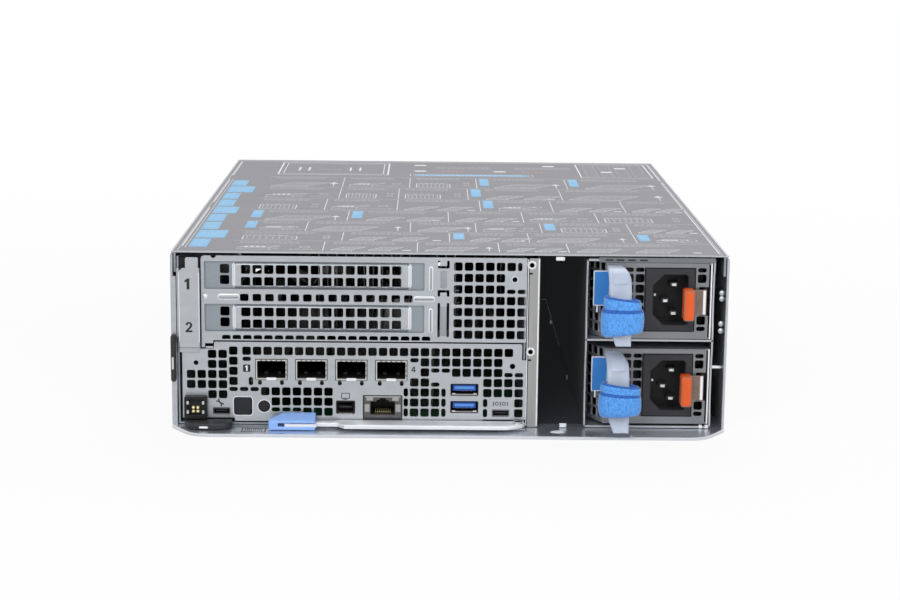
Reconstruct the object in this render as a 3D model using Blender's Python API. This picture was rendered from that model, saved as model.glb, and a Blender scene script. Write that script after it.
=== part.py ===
"""A two-unit edge server: chassis, slide-out compute sled, two power supplies and an empty bay.

The front, with the sockets and the power inlets, faces -Y. +X is to the right when you look at
the front, and +Z is up. The origin is on the underside, midway across, below the front edge of
the top cover. Lengths are in metres. Values that end in share or shares are parts of a size.
"""
import math

import bmesh
import bpy
from mathutils import Vector
from mathutils.geometry import tessellate_polygon

# Chassis envelope and sheet metal
CHASSIS_WIDTH = 0.270
CHASSIS_HEIGHT = 0.0868
CHASSIS_DEPTH = 0.355
CHASSIS_SHEET = 0.0012
COVER_SHEET = 0.0010
COVER_FLANGE = 0.009
FIT_GAP = 0.0003
JOIN_OVERLAP = 0.0002
CUT_OVERRUN = 0.001

# Folded edge of the left wall, beside the sled
SIDE_HEM_LENGTH = 0.0080
SIDE_HEM_DROP = 0.0018

# Front lip of the floor
LIP_DEPTH = 0.0184
LIP_CORNER_WIDTH = 0.0115
LIP_CORNER_DEPTH = 0.0165
LIP_HEM_HEIGHT = 0.0014
LIP_HEM_DEPTH = 0.0014
BAY_SLOT_LENGTH = 0.0072
BAY_SLOT_WIDTH = 0.0050
BAY_SLOT_SETBACK = 0.0084
BAY_SLOT_SHARE = 0.42

# Holes in the side walls for a shelf or a rail
SIDE_HOLE_RADIUS = 0.00225
SIDE_HOLE_FRONT = 0.045
SIDE_HOLE_REAR = 0.305
SIDE_HOLE_LOW = 0.0205
SIDE_HOLE_HIGH = 0.0665

# Rear exhaust panel
REAR_SHEET = 0.0012
REAR_SLOT_WIDTH = 0.0240
REAR_SLOT_HEIGHT = 0.0038
REAR_SLOT_STEP_X = 0.0275
REAR_SLOT_STEP_Z = 0.0068
REAR_SLOT_ROWS = 10

# Perforation shared by the sheet-metal fronts
HOLE = 0.0037
HOLE_STEP_X = 0.0051
HOLE_STEP_Z = 0.00504
HALF_HOLE = 0.0017
SCREW_HOLE_RADIUS = 0.00115

# Compute sled
SLED_WIDTH = 0.170
SLED_SIDE_CLEARANCE = 0.0019
SLED_LENGTH = 0.334
SLED_SHEET = 0.0008
SLED_WALL_SETBACK = 0.0011
PANEL_SHEET = 0.0010
STANDOFF_HEIGHT = 0.0013
STANDOFF_RADIUS = 0.0025
LEVER_TONGUE_LENGTH = 0.0072
LEVER_TONGUE_WIDTH = 0.0130

# Lower panel, with the sockets
IO_PANEL_INSET = 0.0021
IO_PANEL_BOTTOM = 0.0049
IO_PANEL_HEIGHT = 0.0379
IO_CORNER_WIDTH = 0.0155
IO_CORNER_DROP = 0.0035
IO_NOTCH_WIDTH = 0.0026
IO_NOTCH_DROP = 0.0080
IO_LEFT_GRID_INSET = 0.00425
IO_LEFT_GRID_STEP = 0.00514
IO_LEFT_GRID_DROP = 0.0061
IO_GRID_INSET = 0.0313
IO_GRID_DROP = 0.0044

# Upper panel, with the two card slots
UPPER_GAP = 0.0007
UPPER_TOP_GAP = 0.0006
UPPER_PANEL_INSET = 0.0116
UPPER_CORNER_RADIUS = 0.0020
UPPER_FOOT_WIDTH = 0.0017
UPPER_FOOT_LIFT = 0.0020
WINDOW_INSET = 0.0017
WINDOW_WIDTH = 0.1062
WINDOW_HEIGHT = 0.0135
WINDOW_HIGH_DROP = 0.0025
WINDOW_LOW_DROP = 0.0234
BAR_HOLE_INSET = 0.0209
BAR_HOLE_STEP = 0.0061
BAR_HOLE_COUNT = 14
FOOT_HOLE_INSET = 0.01205
FOOT_HOLE_COUNT = 20
FOOT_HOLE_HEIGHT = 0.0021
FOOT_HOLE_RISE = 0.0006
TIE_SLOT_WIDTH = 0.0010
TIE_SLOT_INSET = 0.1144
TIE_SLOT_SPREAD = 0.0046
GRILLE_INSET = 0.12425
GRILLE_DROP = 0.0040
GRILLE_STEP_X = 0.00514
GRILLE_STEP_Z = 0.0056
GRILLE_SCREW_INSET = 0.1523
GRILLE_SCREW_DROP = 0.0102

# Blanking brackets behind the card slots
FILLER_MARGIN = 0.0014
FILLER_EMBOSS = 0.0010
FILLER_SLOPE = 0.0006
FILLER_FIELD_MARGIN = 0.0004
FILLER_FIELD_INSET = 0.0137
FILLER_FIELD_WIDTH = 0.0861
FILLER_HOLE_INSET = 0.0062
FILLER_HOLE_DROP = 0.0037
FILLER_HOLE_COUNT = 14
FILLER_HOLE_STEP_X = 0.00561
FILLER_HOLE_STEP_Z = 0.0060
FILLER_LONE_INSET = 0.0097
FILLER_LONE_STEP = 0.0054

# Slot retaining latch at the left of the card slots
SLOT_LATCH_WIDTH = 0.0102
SLOT_LATCH_SHEET = 0.0012
SLOT_LATCH_HEIGHT = 0.0392
SLOT_LATCH_BOTTOM = 0.0402
SLOT_TAB_WIDTH = 0.0062
SLOT_TAB_HEIGHT = 0.0052
SLOT_TAB_INSET = 0.0034
SLOT_LATCH_STANDOFF = 0.0014
SLOT_LATCH_INSET = 0.0010
SLOT_PIN_SETBACK = 0.0002
SLOT_EAR_RADIUS = 0.0009
SLOT_PIN_RISE = 0.0033
SLOT_PIN_RADIUS = 0.0005
SLOT_KNUCKLE_RADIUS = 0.0011
SLOT_EAR_SHEET = 0.0008

# Sled lever and its release latch
LEVER_SHEET = 0.0020
LEVER_PIVOT_INSET = 0.0043
LEVER_PIVOT_SETBACK = 0.0046
LEVER_EYE_RADIUS = 0.0033
LEVER_DEPTH = 0.0115
LEVER_STEP = 0.0042
LEVER_STEP_WIDTH = 0.0033
LEVER_STEP_START = 0.0262
LEVER_BEND_WIDTH = 0.0101
LEVER_TIP_BACK = 0.0032
LEVER_TIP_LENGTH = 0.0240
LEVER_LENGTH = 0.1182
LEVER_PIN_RADIUS = 0.0014
LEVER_HOLE_RADIUS = 0.0017
LEVER_PIN_HEAD_RADIUS = 0.0026
LEVER_PIN_HEAD = 0.0005
CATCH_LENGTH = 0.0225
CATCH_OVERHANG = 0.0072
CATCH_FRONT = 0.0103
CATCH_BACK = 0.0017
CATCH_LIP = 0.0010
CATCH_LIP_HEIGHT = 0.0009
CATCH_ROOF = 0.0010
CATCH_RISE = 0.0025
CATCH_END = 0.0045
CATCH_CORNER = 0.0068

# Pull-out information tag
TAG_INSET = 0.0034
TAG_WIDTH = 0.0230
TAG_GRIP_DEPTH = 0.0102
TAG_GRIP_BACK = 0.0008
TAG_GRIP_HEIGHT = 0.0030
TAG_BLADE_SHEET = 0.0010
TAG_BLADE_LENGTH = 0.055
TAG_BLADE_MARGIN = 0.0020

# Side clip on the left wall
CLIP_WIDTH = 0.0025
CLIP_LENGTH = 0.0233
CLIP_BOTTOM = 0.0233
CLIP_DEPTH = 0.0032
CLIP_CORNER = 0.0011

# Boards
BOARD_SHEET = 0.0016
BOARD_LENGTH = 0.284
BOARD_MARGIN = 0.0016
BOARD_SETBACK = 0.0020
CARD_TOP = 0.0240
CARD_DEPTH = 0.085
CARD_MARGIN = 0.0025
MEZZANINE_DEPTH = 0.006
MEZZANINE_SETBACK = 0.058
RISER_INSET = 0.0470
RISER_DEPTH = 0.130
RISER_SETBACK = 0.018
RISER_SLOT_SETBACK = 0.030
RISER_DROP = 0.0034
RISER_SLOT_HEIGHT = 0.0070
RISER_SLOT_REACH = 0.0090
RISER_SLOT_DEPTH = 0.089

# Pluggable network cages
CAGE_WIDTH = 0.0150
CAGE_HEIGHT = 0.0098
CAGE_LENGTH = 0.048
CAGE_WALL = 0.0006
CAGE_STEP = 0.01945
CAGE_INSET = 0.0358
CAGE_PROUD = 0.0006
CAGE_FOOT_WIDTH = 0.0016
CAGE_FOOT_HEIGHT = 0.0021
CAGE_FOOT_INSET = 0.0025

# Network jack
JACK_WIDTH = 0.0186
JACK_HEIGHT = 0.0106
JACK_LENGTH = 0.021
JACK_INSET = 0.0882
JACK_MOUTH_WIDTH = 0.0118
JACK_MOUTH_HEIGHT = 0.0066
JACK_MOUTH_RISE = 0.0012
JACK_CLIP_WIDTH = 0.0060
JACK_CLIP_HEIGHT = 0.0017
JACK_MOUTH_DEPTH = 0.016
JACK_PROUD = 0.0002

# Stacked serial-bus jack
BUS_WIDTH = 0.0142
BUS_LENGTH = 0.0180
BUS_INSET = 0.1303
BUS_MOUTH_WIDTH = 0.0128
BUS_MOUTH_HEIGHT = 0.0052
BUS_WALL = 0.0006
BUS_MOUTH_RISE = 0.0027
BUS_MOUTH_STEP = 0.0087
BUS_TONGUE_SHEET = 0.0020
BUS_TONGUE_DROP = 0.0007
BUS_PROUD = 0.0002

# Display jack and the two small service jacks
DISPLAY_WIDTH = 0.0082
DISPLAY_HEIGHT = 0.0056
DISPLAY_INSET = 0.0753
DISPLAY_RISE = 0.0020
SERVICE_WIDTH = 0.0080
SERVICE_HEIGHT = 0.0030
SERVICE_INSET = 0.0149
SERVICE_RISE = 0.0013
SERIAL_INSET = 0.1511
SMALL_JACK_LENGTH = 0.0080
SMALL_JACK_WALL = 0.0005
SMALL_TONGUE = 0.0009
TONGUE_SHARE = 0.86

# Bezel connector block
BLOCK_WIDTH = 0.0110
BLOCK_HEIGHT = 0.0118
BLOCK_INSET = 0.0011
BLOCK_PROUD = 0.0038
BLOCK_DEPTH = 0.0075
BLOCK_RECESS = 0.0076
BLOCK_RECESS_DEPTH = 0.0020
BLOCK_PIN_RADIUS = 0.0006
BLOCK_PIN_STEP = 0.0021

# Push buttons
POWER_BUTTON = 0.0084
POWER_BUTTON_INSET = 0.0252
ID_BUTTON_RADIUS = 0.0027
ID_BUTTON_INSET = 0.0397
BUTTON_RISE = 0.0017
BUTTON_PROUD = 0.0003
BUTTON_DEPTH = 0.0036
BUTTON_FLANGE = 0.0008
BUTTON_FLANGE_SHEET = 0.0008
POWER_BUTTON_CORNER = 0.0012

# Processor, heat sink and memory
PROCESSOR_SIZE = 0.052
PROCESSOR_HEIGHT = 0.0040
SINK_WIDTH = 0.078
SINK_LENGTH = 0.090
SINK_BASE = 0.004
SINK_HEIGHT = 0.052
SINK_FIN = 0.0007
SINK_FIN_COUNT = 16
SINK_INSET = 0.0590
SINK_SETBACK = 0.168
MODULE_LENGTH = 0.133
MODULE_HEIGHT = 0.031
MODULE_SHEET = 0.0013
MODULE_SOCKET = 0.0050
MODULE_SOCKET_HEIGHT = 0.0060
MODULE_FAN_GAP = 0.017
MODULE_INSET = 0.0140

# Sled fans
FAN_SIZE = 0.052
FAN_DEPTH = 0.0252
FAN_STEP = 0.0555
FAN_COUNT = 3
FAN_INSET = 0.0300
FAN_SETBACK = 0.292
FAN_BORE_RADIUS = 0.0242
FAN_HUB_RADIUS = 0.0100
FAN_TIP_GAP = 0.0008
FAN_HUB_GAP = 0.0004
FAN_STRUT = 0.0030
FAN_STRUT_DEPTH = 0.0030
FAN_SPINDLE_RADIUS = 0.0020
FAN_ROTOR_INSET = 0.0020
FAN_BLADES = 5
FAN_TWIST = 28.0
FAN_LAYERS = 3

# Blind-mate power between sled and chassis
PLUG_WIDTH = 0.040
PLUG_HEIGHT = 0.014
PLUG_DEPTH = 0.0090
PLUG_DROP = 0.0230
PLUG_TONGUE = 0.0050
PLUG_TONGUE_SHEET = 0.0040
SOCKET_WALL = 0.0030

# Divider beside the empty bay
DIVIDER_FLANGE = 0.0050
DIVIDER_SHEET = 0.0010
DIVIDER_LENGTH = 0.330
LUG_RADIUS = 0.0020
LUG_PROUD = 0.0003
LUG_INSET = 0.0011
LUG_DROP = 0.0037
LUG_HIGH_DROP = 0.0036
BAY_WIDTH = 0.0226

# Power supply cage
PSU_CAGE_SHEET = 0.0010
PSU_CAGE_LENGTH = 0.188
PSU_CAGE_BASE = 0.0018
PSU_SIDE_CLEARANCE = 0.0004
PSU_TOP_CLEARANCE = 0.0006
SHELF_DROP = 0.0003
SHELF_SHEET = 0.0010
CAGE_PIN_RADIUS = 0.0010
CAGE_PIN_HEIGHT = 0.0310
CAGE_PIN_SETBACK = 0.0060

# Power supplies
PSU_WIDTH = 0.0595
PSU_HEIGHT = 0.0375
PSU_SHEET = 0.0008
PSU_CORNER_WIDTH = 0.0084
PSU_CORNER_DEPTH = 0.0160
PSU_FACE_SHEET = 0.0009
PSU_GRID_INSET = 0.0141
PSU_GRID_DROP = 0.0025
PSU_GRID_STEP = 0.00515
PSU_STRIP_INSET = 0.05445
PSU_CORNER_HOLE_INSET = 0.0036

# Mains inlet
INLET_INSET = 0.0270
INLET_WIDTH = 0.0241
INLET_HEIGHT = 0.0308
INLET_RISE = 0.0040
INLET_PROUD = 0.0008
INLET_DEPTH = 0.0185
INLET_MOUTH_WIDTH = 0.0168
INLET_MOUTH_HEIGHT = 0.0246
INLET_MOUTH_INSET = 0.0040
INLET_CHAMFER = 0.0052
INLET_NOTCH = 0.0010
INLET_MOUTH_DEPTH = 0.0165
INLET_PIN_WIDTH = 0.0040
INLET_PIN_SHEET = 0.0020
INLET_PIN_LENGTH = 0.0135
INLET_PIN_SPREAD = 0.0070
INLET_PIN_STEP = 0.0040
INLET_PIN_INSET = 0.0080

# Power supply latch
PSU_LATCH_SHEET = 0.0008
PSU_LATCH_HEIGHT = 0.0124
PSU_LATCH_LENGTH = 0.030
PSU_LATCH_INSET = 0.0038
PSU_LATCH_PROUD = 0.0030
THUMB_WIDTH = 0.0050
THUMB_INSET = 0.0450
THUMB_CORNER = 0.0012
THUMB_HEIGHT = 0.0150
THUMB_DROP = 0.0005
THUMB_DEPTH = 0.0072
LATCH_NOTCH_MARGIN = 0.0008
LATCH_NOTCH_WIDTH = 0.0046
LATCH_NOTCH_INSET = 0.0063
LATCH_TOOTH_PROUD = 0.0002
LATCH_TOOTH_LENGTH = 0.0055
LATCH_TOOTH_SETBACK = 0.014
LATCH_BARREL_RADIUS = 0.0019
LATCH_BARREL_BORE = 0.0010
LATCH_POST_RADIUS = 0.0007

# Power supply handle and hook-and-loop strap
HANDLE_INSET = 0.0081
HANDLE_WIDTH = 0.0108
HANDLE_SHEET = 0.0024
HANDLE_TOP_DROP = 0.0013
HANDLE_REACH = 0.0242
HANDLE_DROP = 0.0347
STRAP_WIDTH = 0.0208
STRAP_DEPTH = 0.0145
STRAP_HEIGHT = 0.0195
STRAP_SHEET = 0.0030
STRAP_RISE = 0.0058
STRAP_SHIFT = 0.0008

# Power board behind the supplies
POWER_BOARD_MARGIN = 0.0014
POWER_SOCKET_WIDTH = 0.034
POWER_SOCKET_HEIGHT = 0.009
POWER_SOCKET_DEPTH = 0.0028
BUS_BAR_SHEET = 0.0020
BUS_BAR_WIDTH = 0.0060
BUS_BAR_INSET = 0.0058
BUS_BAR_RETURN = 0.0090

# Perforation maps: # full hole, - upper slot, _ lower slot, l left slot, r right slot
IO_LEFT_MAP = ("..##", "..##", "####", "####", "..##")
IO_MIDDLE_MAP = ("#.........", "#.........", "#.........", "#.........", "---#######", "....######",
                 "....---###")
IO_RIGHT_MAP = (
    "##########################.",
    "-...............-########..",
    ".................#--#####__",
    "r...............##_....####",
    "...............r###l...####",
    "...............r###l...l..#",
    "...............r###l...l..#",
)
GRILLE_MAP = ("######l", "#####..", "#####__", "#######", "#######", "#######", "#######")
PSU_LEFT_MAP = ("___", "###", "###", "###", "###", "###", "---")
PSU_STRIP_MAP = ("_", "#", ".", ".", ".", "#", "-")
PSU_CORNER_MAP = ("###", "###", "###", "###", "###", "###", "###")

# Places of the panel screws, as shares of the lower panel's width and height
IO_SCREW_SHARES = ((0.040, 0.723), (0.957, 0.686))
# Places of the sled's board standoffs, as shares of the board's width and length
STANDOFF_SHARES = ((0.20, 0.04), (0.94, 0.04), (0.05, 0.50), (0.94, 0.50), (0.05, 0.96), (0.94, 0.96))
# Heights of the tie slots, as shares of the upper panel's height
TIE_SLOT_SHARES = ((0.060, 0.469), (0.546, 0.621), (0.879, 0.969))
# Side view of the power supply handle, as shares of its reach and drop, with its left and right half widths
HANDLE_SHARES = ((0.0, 0.0, 1.0, 0.45), (0.30, 0.01, 1.0, 0.70), (0.55, 0.08, 1.0, 0.96), (0.70, 0.22, 1.0, 1.0),
                 (0.80, 0.45, 0.96, 1.0), (0.90, 0.75, 0.80, 1.0), (1.0, 1.0, 0.52, 0.96))
# Rounded front of the information tag, as shares of its width and grip depth
TAG_FRONT_SHARES = ((0.02, 0.45), (0.10, 0.80), (0.25, 0.97), (0.75, 1.00), (0.93, 0.88), (1.0, 0.62))
# Bearings, in degrees from a blade's middle, of the corners between its root and its tip
BLADE_BEARINGS = (-10, -22, 0, 22, 10, 36)

FILL_SCALE = 1000.0
ROUND_SIDES = 12
FINE_SIDES = 20

# Planes that several pieces share
LEFT = -CHASSIS_WIDTH / 2
RIGHT = CHASSIS_WIDTH / 2
WALL_TOP = CHASSIS_HEIGHT - COVER_SHEET - FIT_GAP
FLOOR_TOP = CHASSIS_SHEET
SLED_LEFT = LEFT + CHASSIS_SHEET + SLED_SIDE_CLEARANCE
SLED_RIGHT = SLED_LEFT + SLED_WIDTH
SLED_FLOOR = FLOOR_TOP + FIT_GAP
SLED_FLOOR_TOP = SLED_FLOOR + SLED_SHEET
IO_LEFT = SLED_LEFT + IO_PANEL_INSET
IO_WIDTH = SLED_RIGHT - IO_LEFT
IO_TOP = IO_PANEL_BOTTOM + IO_PANEL_HEIGHT
UPPER_LEFT = SLED_LEFT + UPPER_PANEL_INSET
UPPER_RIGHT = SLED_RIGHT - SLED_SHEET
UPPER_BOTTOM = IO_TOP + UPPER_GAP
UPPER_TOP = WALL_TOP - UPPER_TOP_GAP
UPPER_PANEL_HEIGHT = UPPER_TOP - UPPER_BOTTOM
SLED_WALL_RIGHT = SLED_RIGHT - SLED_WALL_SETBACK
BOARD_BOTTOM = SLED_FLOOR_TOP + STANDOFF_HEIGHT + FIT_GAP
BOARD_TOP = BOARD_BOTTOM + BOARD_SHEET
BOARD_LEFT = SLED_LEFT + BOARD_MARGIN
BOARD_RIGHT = SLED_WALL_RIGHT - BOARD_MARGIN
BEHIND_PANEL = PANEL_SHEET + FIT_GAP
LEVER_BOTTOM = SLED_FLOOR_TOP + FIT_GAP
LEVER_TOP = LEVER_BOTTOM + LEVER_SHEET
LEVER_PIVOT = Vector((SLED_RIGHT - LEVER_PIVOT_INSET, -LEVER_PIVOT_SETBACK, LEVER_BOTTOM))
DIVIDER_LEFT = SLED_RIGHT + FIT_GAP
LUG_HEIGHTS = (IO_TOP - LUG_DROP, WALL_TOP - LUG_HIGH_DROP)
PLUG_BOTTOM = WALL_TOP - PLUG_DROP
BAY_LEFT = DIVIDER_LEFT + DIVIDER_FLANGE
PSU_CAGE_LEFT = BAY_LEFT + BAY_WIDTH
PSU_LEFT = PSU_CAGE_LEFT + PSU_CAGE_SHEET + PSU_SIDE_CLEARANCE
PSU_RIGHT = PSU_LEFT + PSU_WIDTH
PSU_CAGE_RIGHT = PSU_RIGHT + PSU_SIDE_CLEARANCE + PSU_CAGE_SHEET
PSU_FLOOR = FLOOR_TOP + FIT_GAP + PSU_CAGE_BASE + FIT_GAP
PSU_CAGE_TOP = WALL_TOP - FIT_GAP
PSU_PITCH = PSU_CAGE_TOP - PSU_CAGE_SHEET - PSU_TOP_CLEARANCE - PSU_HEIGHT - PSU_FLOOR
PSU_LENGTH = PSU_CAGE_LENGTH - POWER_SOCKET_DEPTH - PSU_FACE_SHEET - FIT_GAP
FAN_CENTRE = SLED_FLOOR_TOP + FIT_GAP + FAN_SIZE / 2
MODULE_SETBACK = FAN_SETBACK - MODULE_FAN_GAP - MODULE_LENGTH

FINISHES = {
    "zinc": ((0.62, 0.65, 0.69), 0.34, 0.85),
    "dark_zinc": ((0.30, 0.31, 0.33), 0.40, 0.85),
    "bright_steel": ((0.78, 0.79, 0.80), 0.22, 1.0),
    "cover": ((0.29, 0.29, 0.30), 0.45, 0.2),
    "black": ((0.016, 0.016, 0.018), 0.50, 0.0),
    "charcoal": ((0.045, 0.045, 0.050), 0.50, 0.0),
    "blue": ((0.20, 0.40, 0.90), 0.42, 0.0),
    "strap_blue": ((0.10, 0.33, 0.80), 0.90, 0.0),
    "clear": ((0.62, 0.68, 0.80), 0.30, 0.0),
    "orange": ((0.83, 0.16, 0.02), 0.42, 0.0),
    "board": ((0.02, 0.12, 0.05), 0.50, 0.0),
    "aluminium": ((0.70, 0.71, 0.72), 0.35, 1.0),
    "copper": ((0.72, 0.33, 0.16), 0.30, 1.0),
}


def clear_scene():
    """Remove what a new file holds, so that only the server is left."""
    for item in list(bpy.data.objects):
        bpy.data.objects.remove(item, do_unlink=True)


def rect(left, right, low, high):
    """The four corners of a rectangle."""
    return [(left, low), (right, low), (right, high), (left, high)]


def disc(centre_u, centre_v, radius, sides=ROUND_SIDES):
    """A round outline."""
    turn = 2 * math.pi / sides
    return [
        (centre_u + radius * math.cos(turn * i), centre_v + radius * math.sin(turn * i))
        for i in range(sides)
    ]


def ellipse(centre_u, centre_v, width, height, sides=FINE_SIDES):
    """An oval outline of a full width and height."""
    turn = 2 * math.pi / sides
    return [
        (centre_u + width / 2 * math.cos(turn * i), centre_v + height / 2 * math.sin(turn * i))
        for i in range(sides)
    ]


def rounded(left, right, low, high, radius, steps=3):
    """A rectangle with round corners."""
    centres = ((right - radius, high - radius), (left + radius, high - radius),
               (left + radius, low + radius), (right - radius, low + radius))
    points = []
    for quarter, (centre_u, centre_v) in enumerate(centres):
        for step in range(steps + 1):
            angle = math.pi / 2 * (quarter + step / steps)
            points.append((centre_u + radius * math.cos(angle), centre_v + radius * math.sin(angle)))
    return points


def perforation(rows, start_u, start_v, step_u, step_v):
    """The hole outlines of a perforation map whose first hole's centre is at the start."""
    half = HOLE / 2
    outlines = []
    for row, marks in enumerate(rows):
        for column, mark in enumerate(marks):
            if mark == ".":
                continue
            centre_u = start_u + column * step_u
            centre_v = start_v - row * step_v
            left, right, low, high = centre_u - half, centre_u + half, centre_v - half, centre_v + half
            if mark == "-":
                low = high - HALF_HOLE
            elif mark == "_":
                high = low + HALF_HOLE
            elif mark == "l":
                right = left + HALF_HOLE
            elif mark == "r":
                left = right - HALF_HOLE
            outlines.append(rect(left, right, low, high))
    return outlines


def along_x(u, v, w):
    """Outline in Y and Z, thickness along X."""
    return (w, u, v)


def along_y(u, v, w):
    """Outline in X and Z, thickness along Y."""
    return (u, w, v)


def along_z(u, v, w):
    """Outline in X and Y, thickness along Z."""
    return (u, v, w)


def sheet_mesh(regions, thickness, place):
    """A formed sheet as one closed mesh.

    Each region is an outline and its holes, of points (u, v) or (u, v, w). The sheet's near
    face is at w and its far face at w plus the thickness. Regions that share an edge join there.
    """
    mesh = bmesh.new()
    corners = {}

    def corner(point, side):
        u, v = point[0], point[1]
        w = point[2] if len(point) > 2 else 0.0
        key = (round(u * FILL_SCALE, 4), round(v * FILL_SCALE, 4), side)
        if key not in corners:
            corners[key] = mesh.verts.new(place(u, v, w + side * thickness))
        return corners[key]

    pairs = {}
    for outline, holes in regions:
        loops = [outline] + list(holes)
        points = [point for loop in loops for point in loop]
        flat = [[Vector((p[0] * FILL_SCALE, p[1] * FILL_SCALE, 0)) for p in loop] for loop in loops]
        for triangle in tessellate_polygon(flat):
            near = [corner(points[i], 0) for i in triangle]
            far = [corner(points[i], 1) for i in triangle]
            pairs.update(zip(near, far))
            mesh.faces.new(near)
            mesh.faces.new(list(reversed(far)))
    rim = [edge for edge in mesh.edges if len(edge.link_faces) == 1 and edge.verts[0] in pairs]
    for edge in rim:
        first, second = edge.verts
        mesh.faces.new((first, second, pairs[second], pairs[first]))
    bmesh.ops.recalc_face_normals(mesh, faces=mesh.faces)
    data = bpy.data.meshes.new("sheet")
    mesh.to_mesh(data)
    mesh.free()
    return data


def prism(outline, place, low, high, holes=()):
    """A flat outline, with any holes, given a thickness from low to high."""
    solid = [(u, v, low) for u, v in outline]
    pierced = [[(u, v, low) for u, v in hole] for hole in holes]
    return sheet_mesh([(solid, pierced)], high - low, place)


def block(low, high):
    """A box between two corners."""
    return prism(rect(low[0], high[0], low[1], high[1]), along_z, low[2], high[2])


def loft(rings):
    """A solid through a list of rings, each with as many points, closed by its two ends."""
    mesh = bmesh.new()
    loops = [[mesh.verts.new(point) for point in ring] for ring in rings]
    for near, far in zip(loops, loops[1:]):
        for i in range(len(near)):
            j = (i + 1) % len(near)
            mesh.faces.new((near[i], near[j], far[j], far[i]))
    mesh.faces.new(list(reversed(loops[0])))
    mesh.faces.new(loops[-1])
    bmesh.ops.triangulate(mesh, faces=mesh.faces)
    bmesh.ops.recalc_face_normals(mesh, faces=mesh.faces)
    data = bpy.data.meshes.new("loft")
    mesh.to_mesh(data)
    mesh.free()
    return data


def hoop(rings):
    """A closed band through a list of rings, the last joined to the first."""
    mesh = bmesh.new()
    loops = [[mesh.verts.new(point) for point in ring] for ring in rings]
    for index, near in enumerate(loops):
        far = loops[(index + 1) % len(loops)]
        for i in range(len(near)):
            j = (i + 1) % len(near)
            mesh.faces.new((near[i], near[j], far[j], far[i]))
    bmesh.ops.triangulate(mesh, faces=mesh.faces)
    bmesh.ops.recalc_face_normals(mesh, faces=mesh.faces)
    data = bpy.data.meshes.new("hoop")
    mesh.to_mesh(data)
    mesh.free()
    return data


def combine(solids, cuts=()):
    """Join overlapping solids into one body, then take the cuts out of it."""
    base = bpy.data.objects.new("base", solids[0])
    bpy.context.scene.collection.objects.link(base)
    helpers = [base]
    for operation, meshes in (("UNION", solids[1:]), ("DIFFERENCE", cuts)):
        for data in meshes:
            helper = bpy.data.objects.new("helper", data)
            bpy.context.scene.collection.objects.link(helper)
            helpers.append(helper)
            step = base.modifiers.new(operation.lower(), "BOOLEAN")
            step.operation = operation
            step.solver = "EXACT"
            step.object = helper
    graph = bpy.context.evaluated_depsgraph_get()
    result = bpy.data.meshes.new_from_object(base.evaluated_get(graph))
    for helper in helpers:
        bpy.data.objects.remove(helper, do_unlink=True)
    return result


def finish(name, kind):
    """The piece's own material."""
    colour, roughness, metallic = FINISHES[kind]
    material = bpy.data.materials.new(name + "_finish")
    material.use_nodes = True
    shader = material.node_tree.nodes["Principled BSDF"]
    shader.inputs["Base Color"].default_value = (*colour, 1.0)
    shader.inputs["Roughness"].default_value = roughness
    shader.inputs["Metallic"].default_value = metallic
    material.diffuse_color = (*colour, 1.0)
    return material


PIVOTS = {}


def body(name, pivot=(0, 0, 0), parent=None):
    """An empty on a moving body's joint axis, or at the origin for the chassis."""
    empty = bpy.data.objects.new(name + "_axis", None)
    bpy.context.scene.collection.objects.link(empty)
    PIVOTS[empty.name] = Vector(pivot)
    empty.location = PIVOTS[empty.name]
    if parent is not None:
        empty.parent = parent
        empty.location = PIVOTS[empty.name] - PIVOTS[parent.name]
    return empty


def add(name, mesh, kind, carrier, smooth=False):
    """Put a piece into the scene on the body that carries it."""
    mesh.name = name
    mesh.materials.clear()
    mesh.materials.append(finish(name, kind))
    piece = bpy.data.objects.new(name, mesh)
    bpy.context.scene.collection.objects.link(piece)
    if smooth:
        mesh.shade_smooth()
        mesh.set_sharp_from_angle(angle=math.radians(35))
    piece.parent = carrier
    piece.location = -PIVOTS[carrier.name]
    return piece


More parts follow.
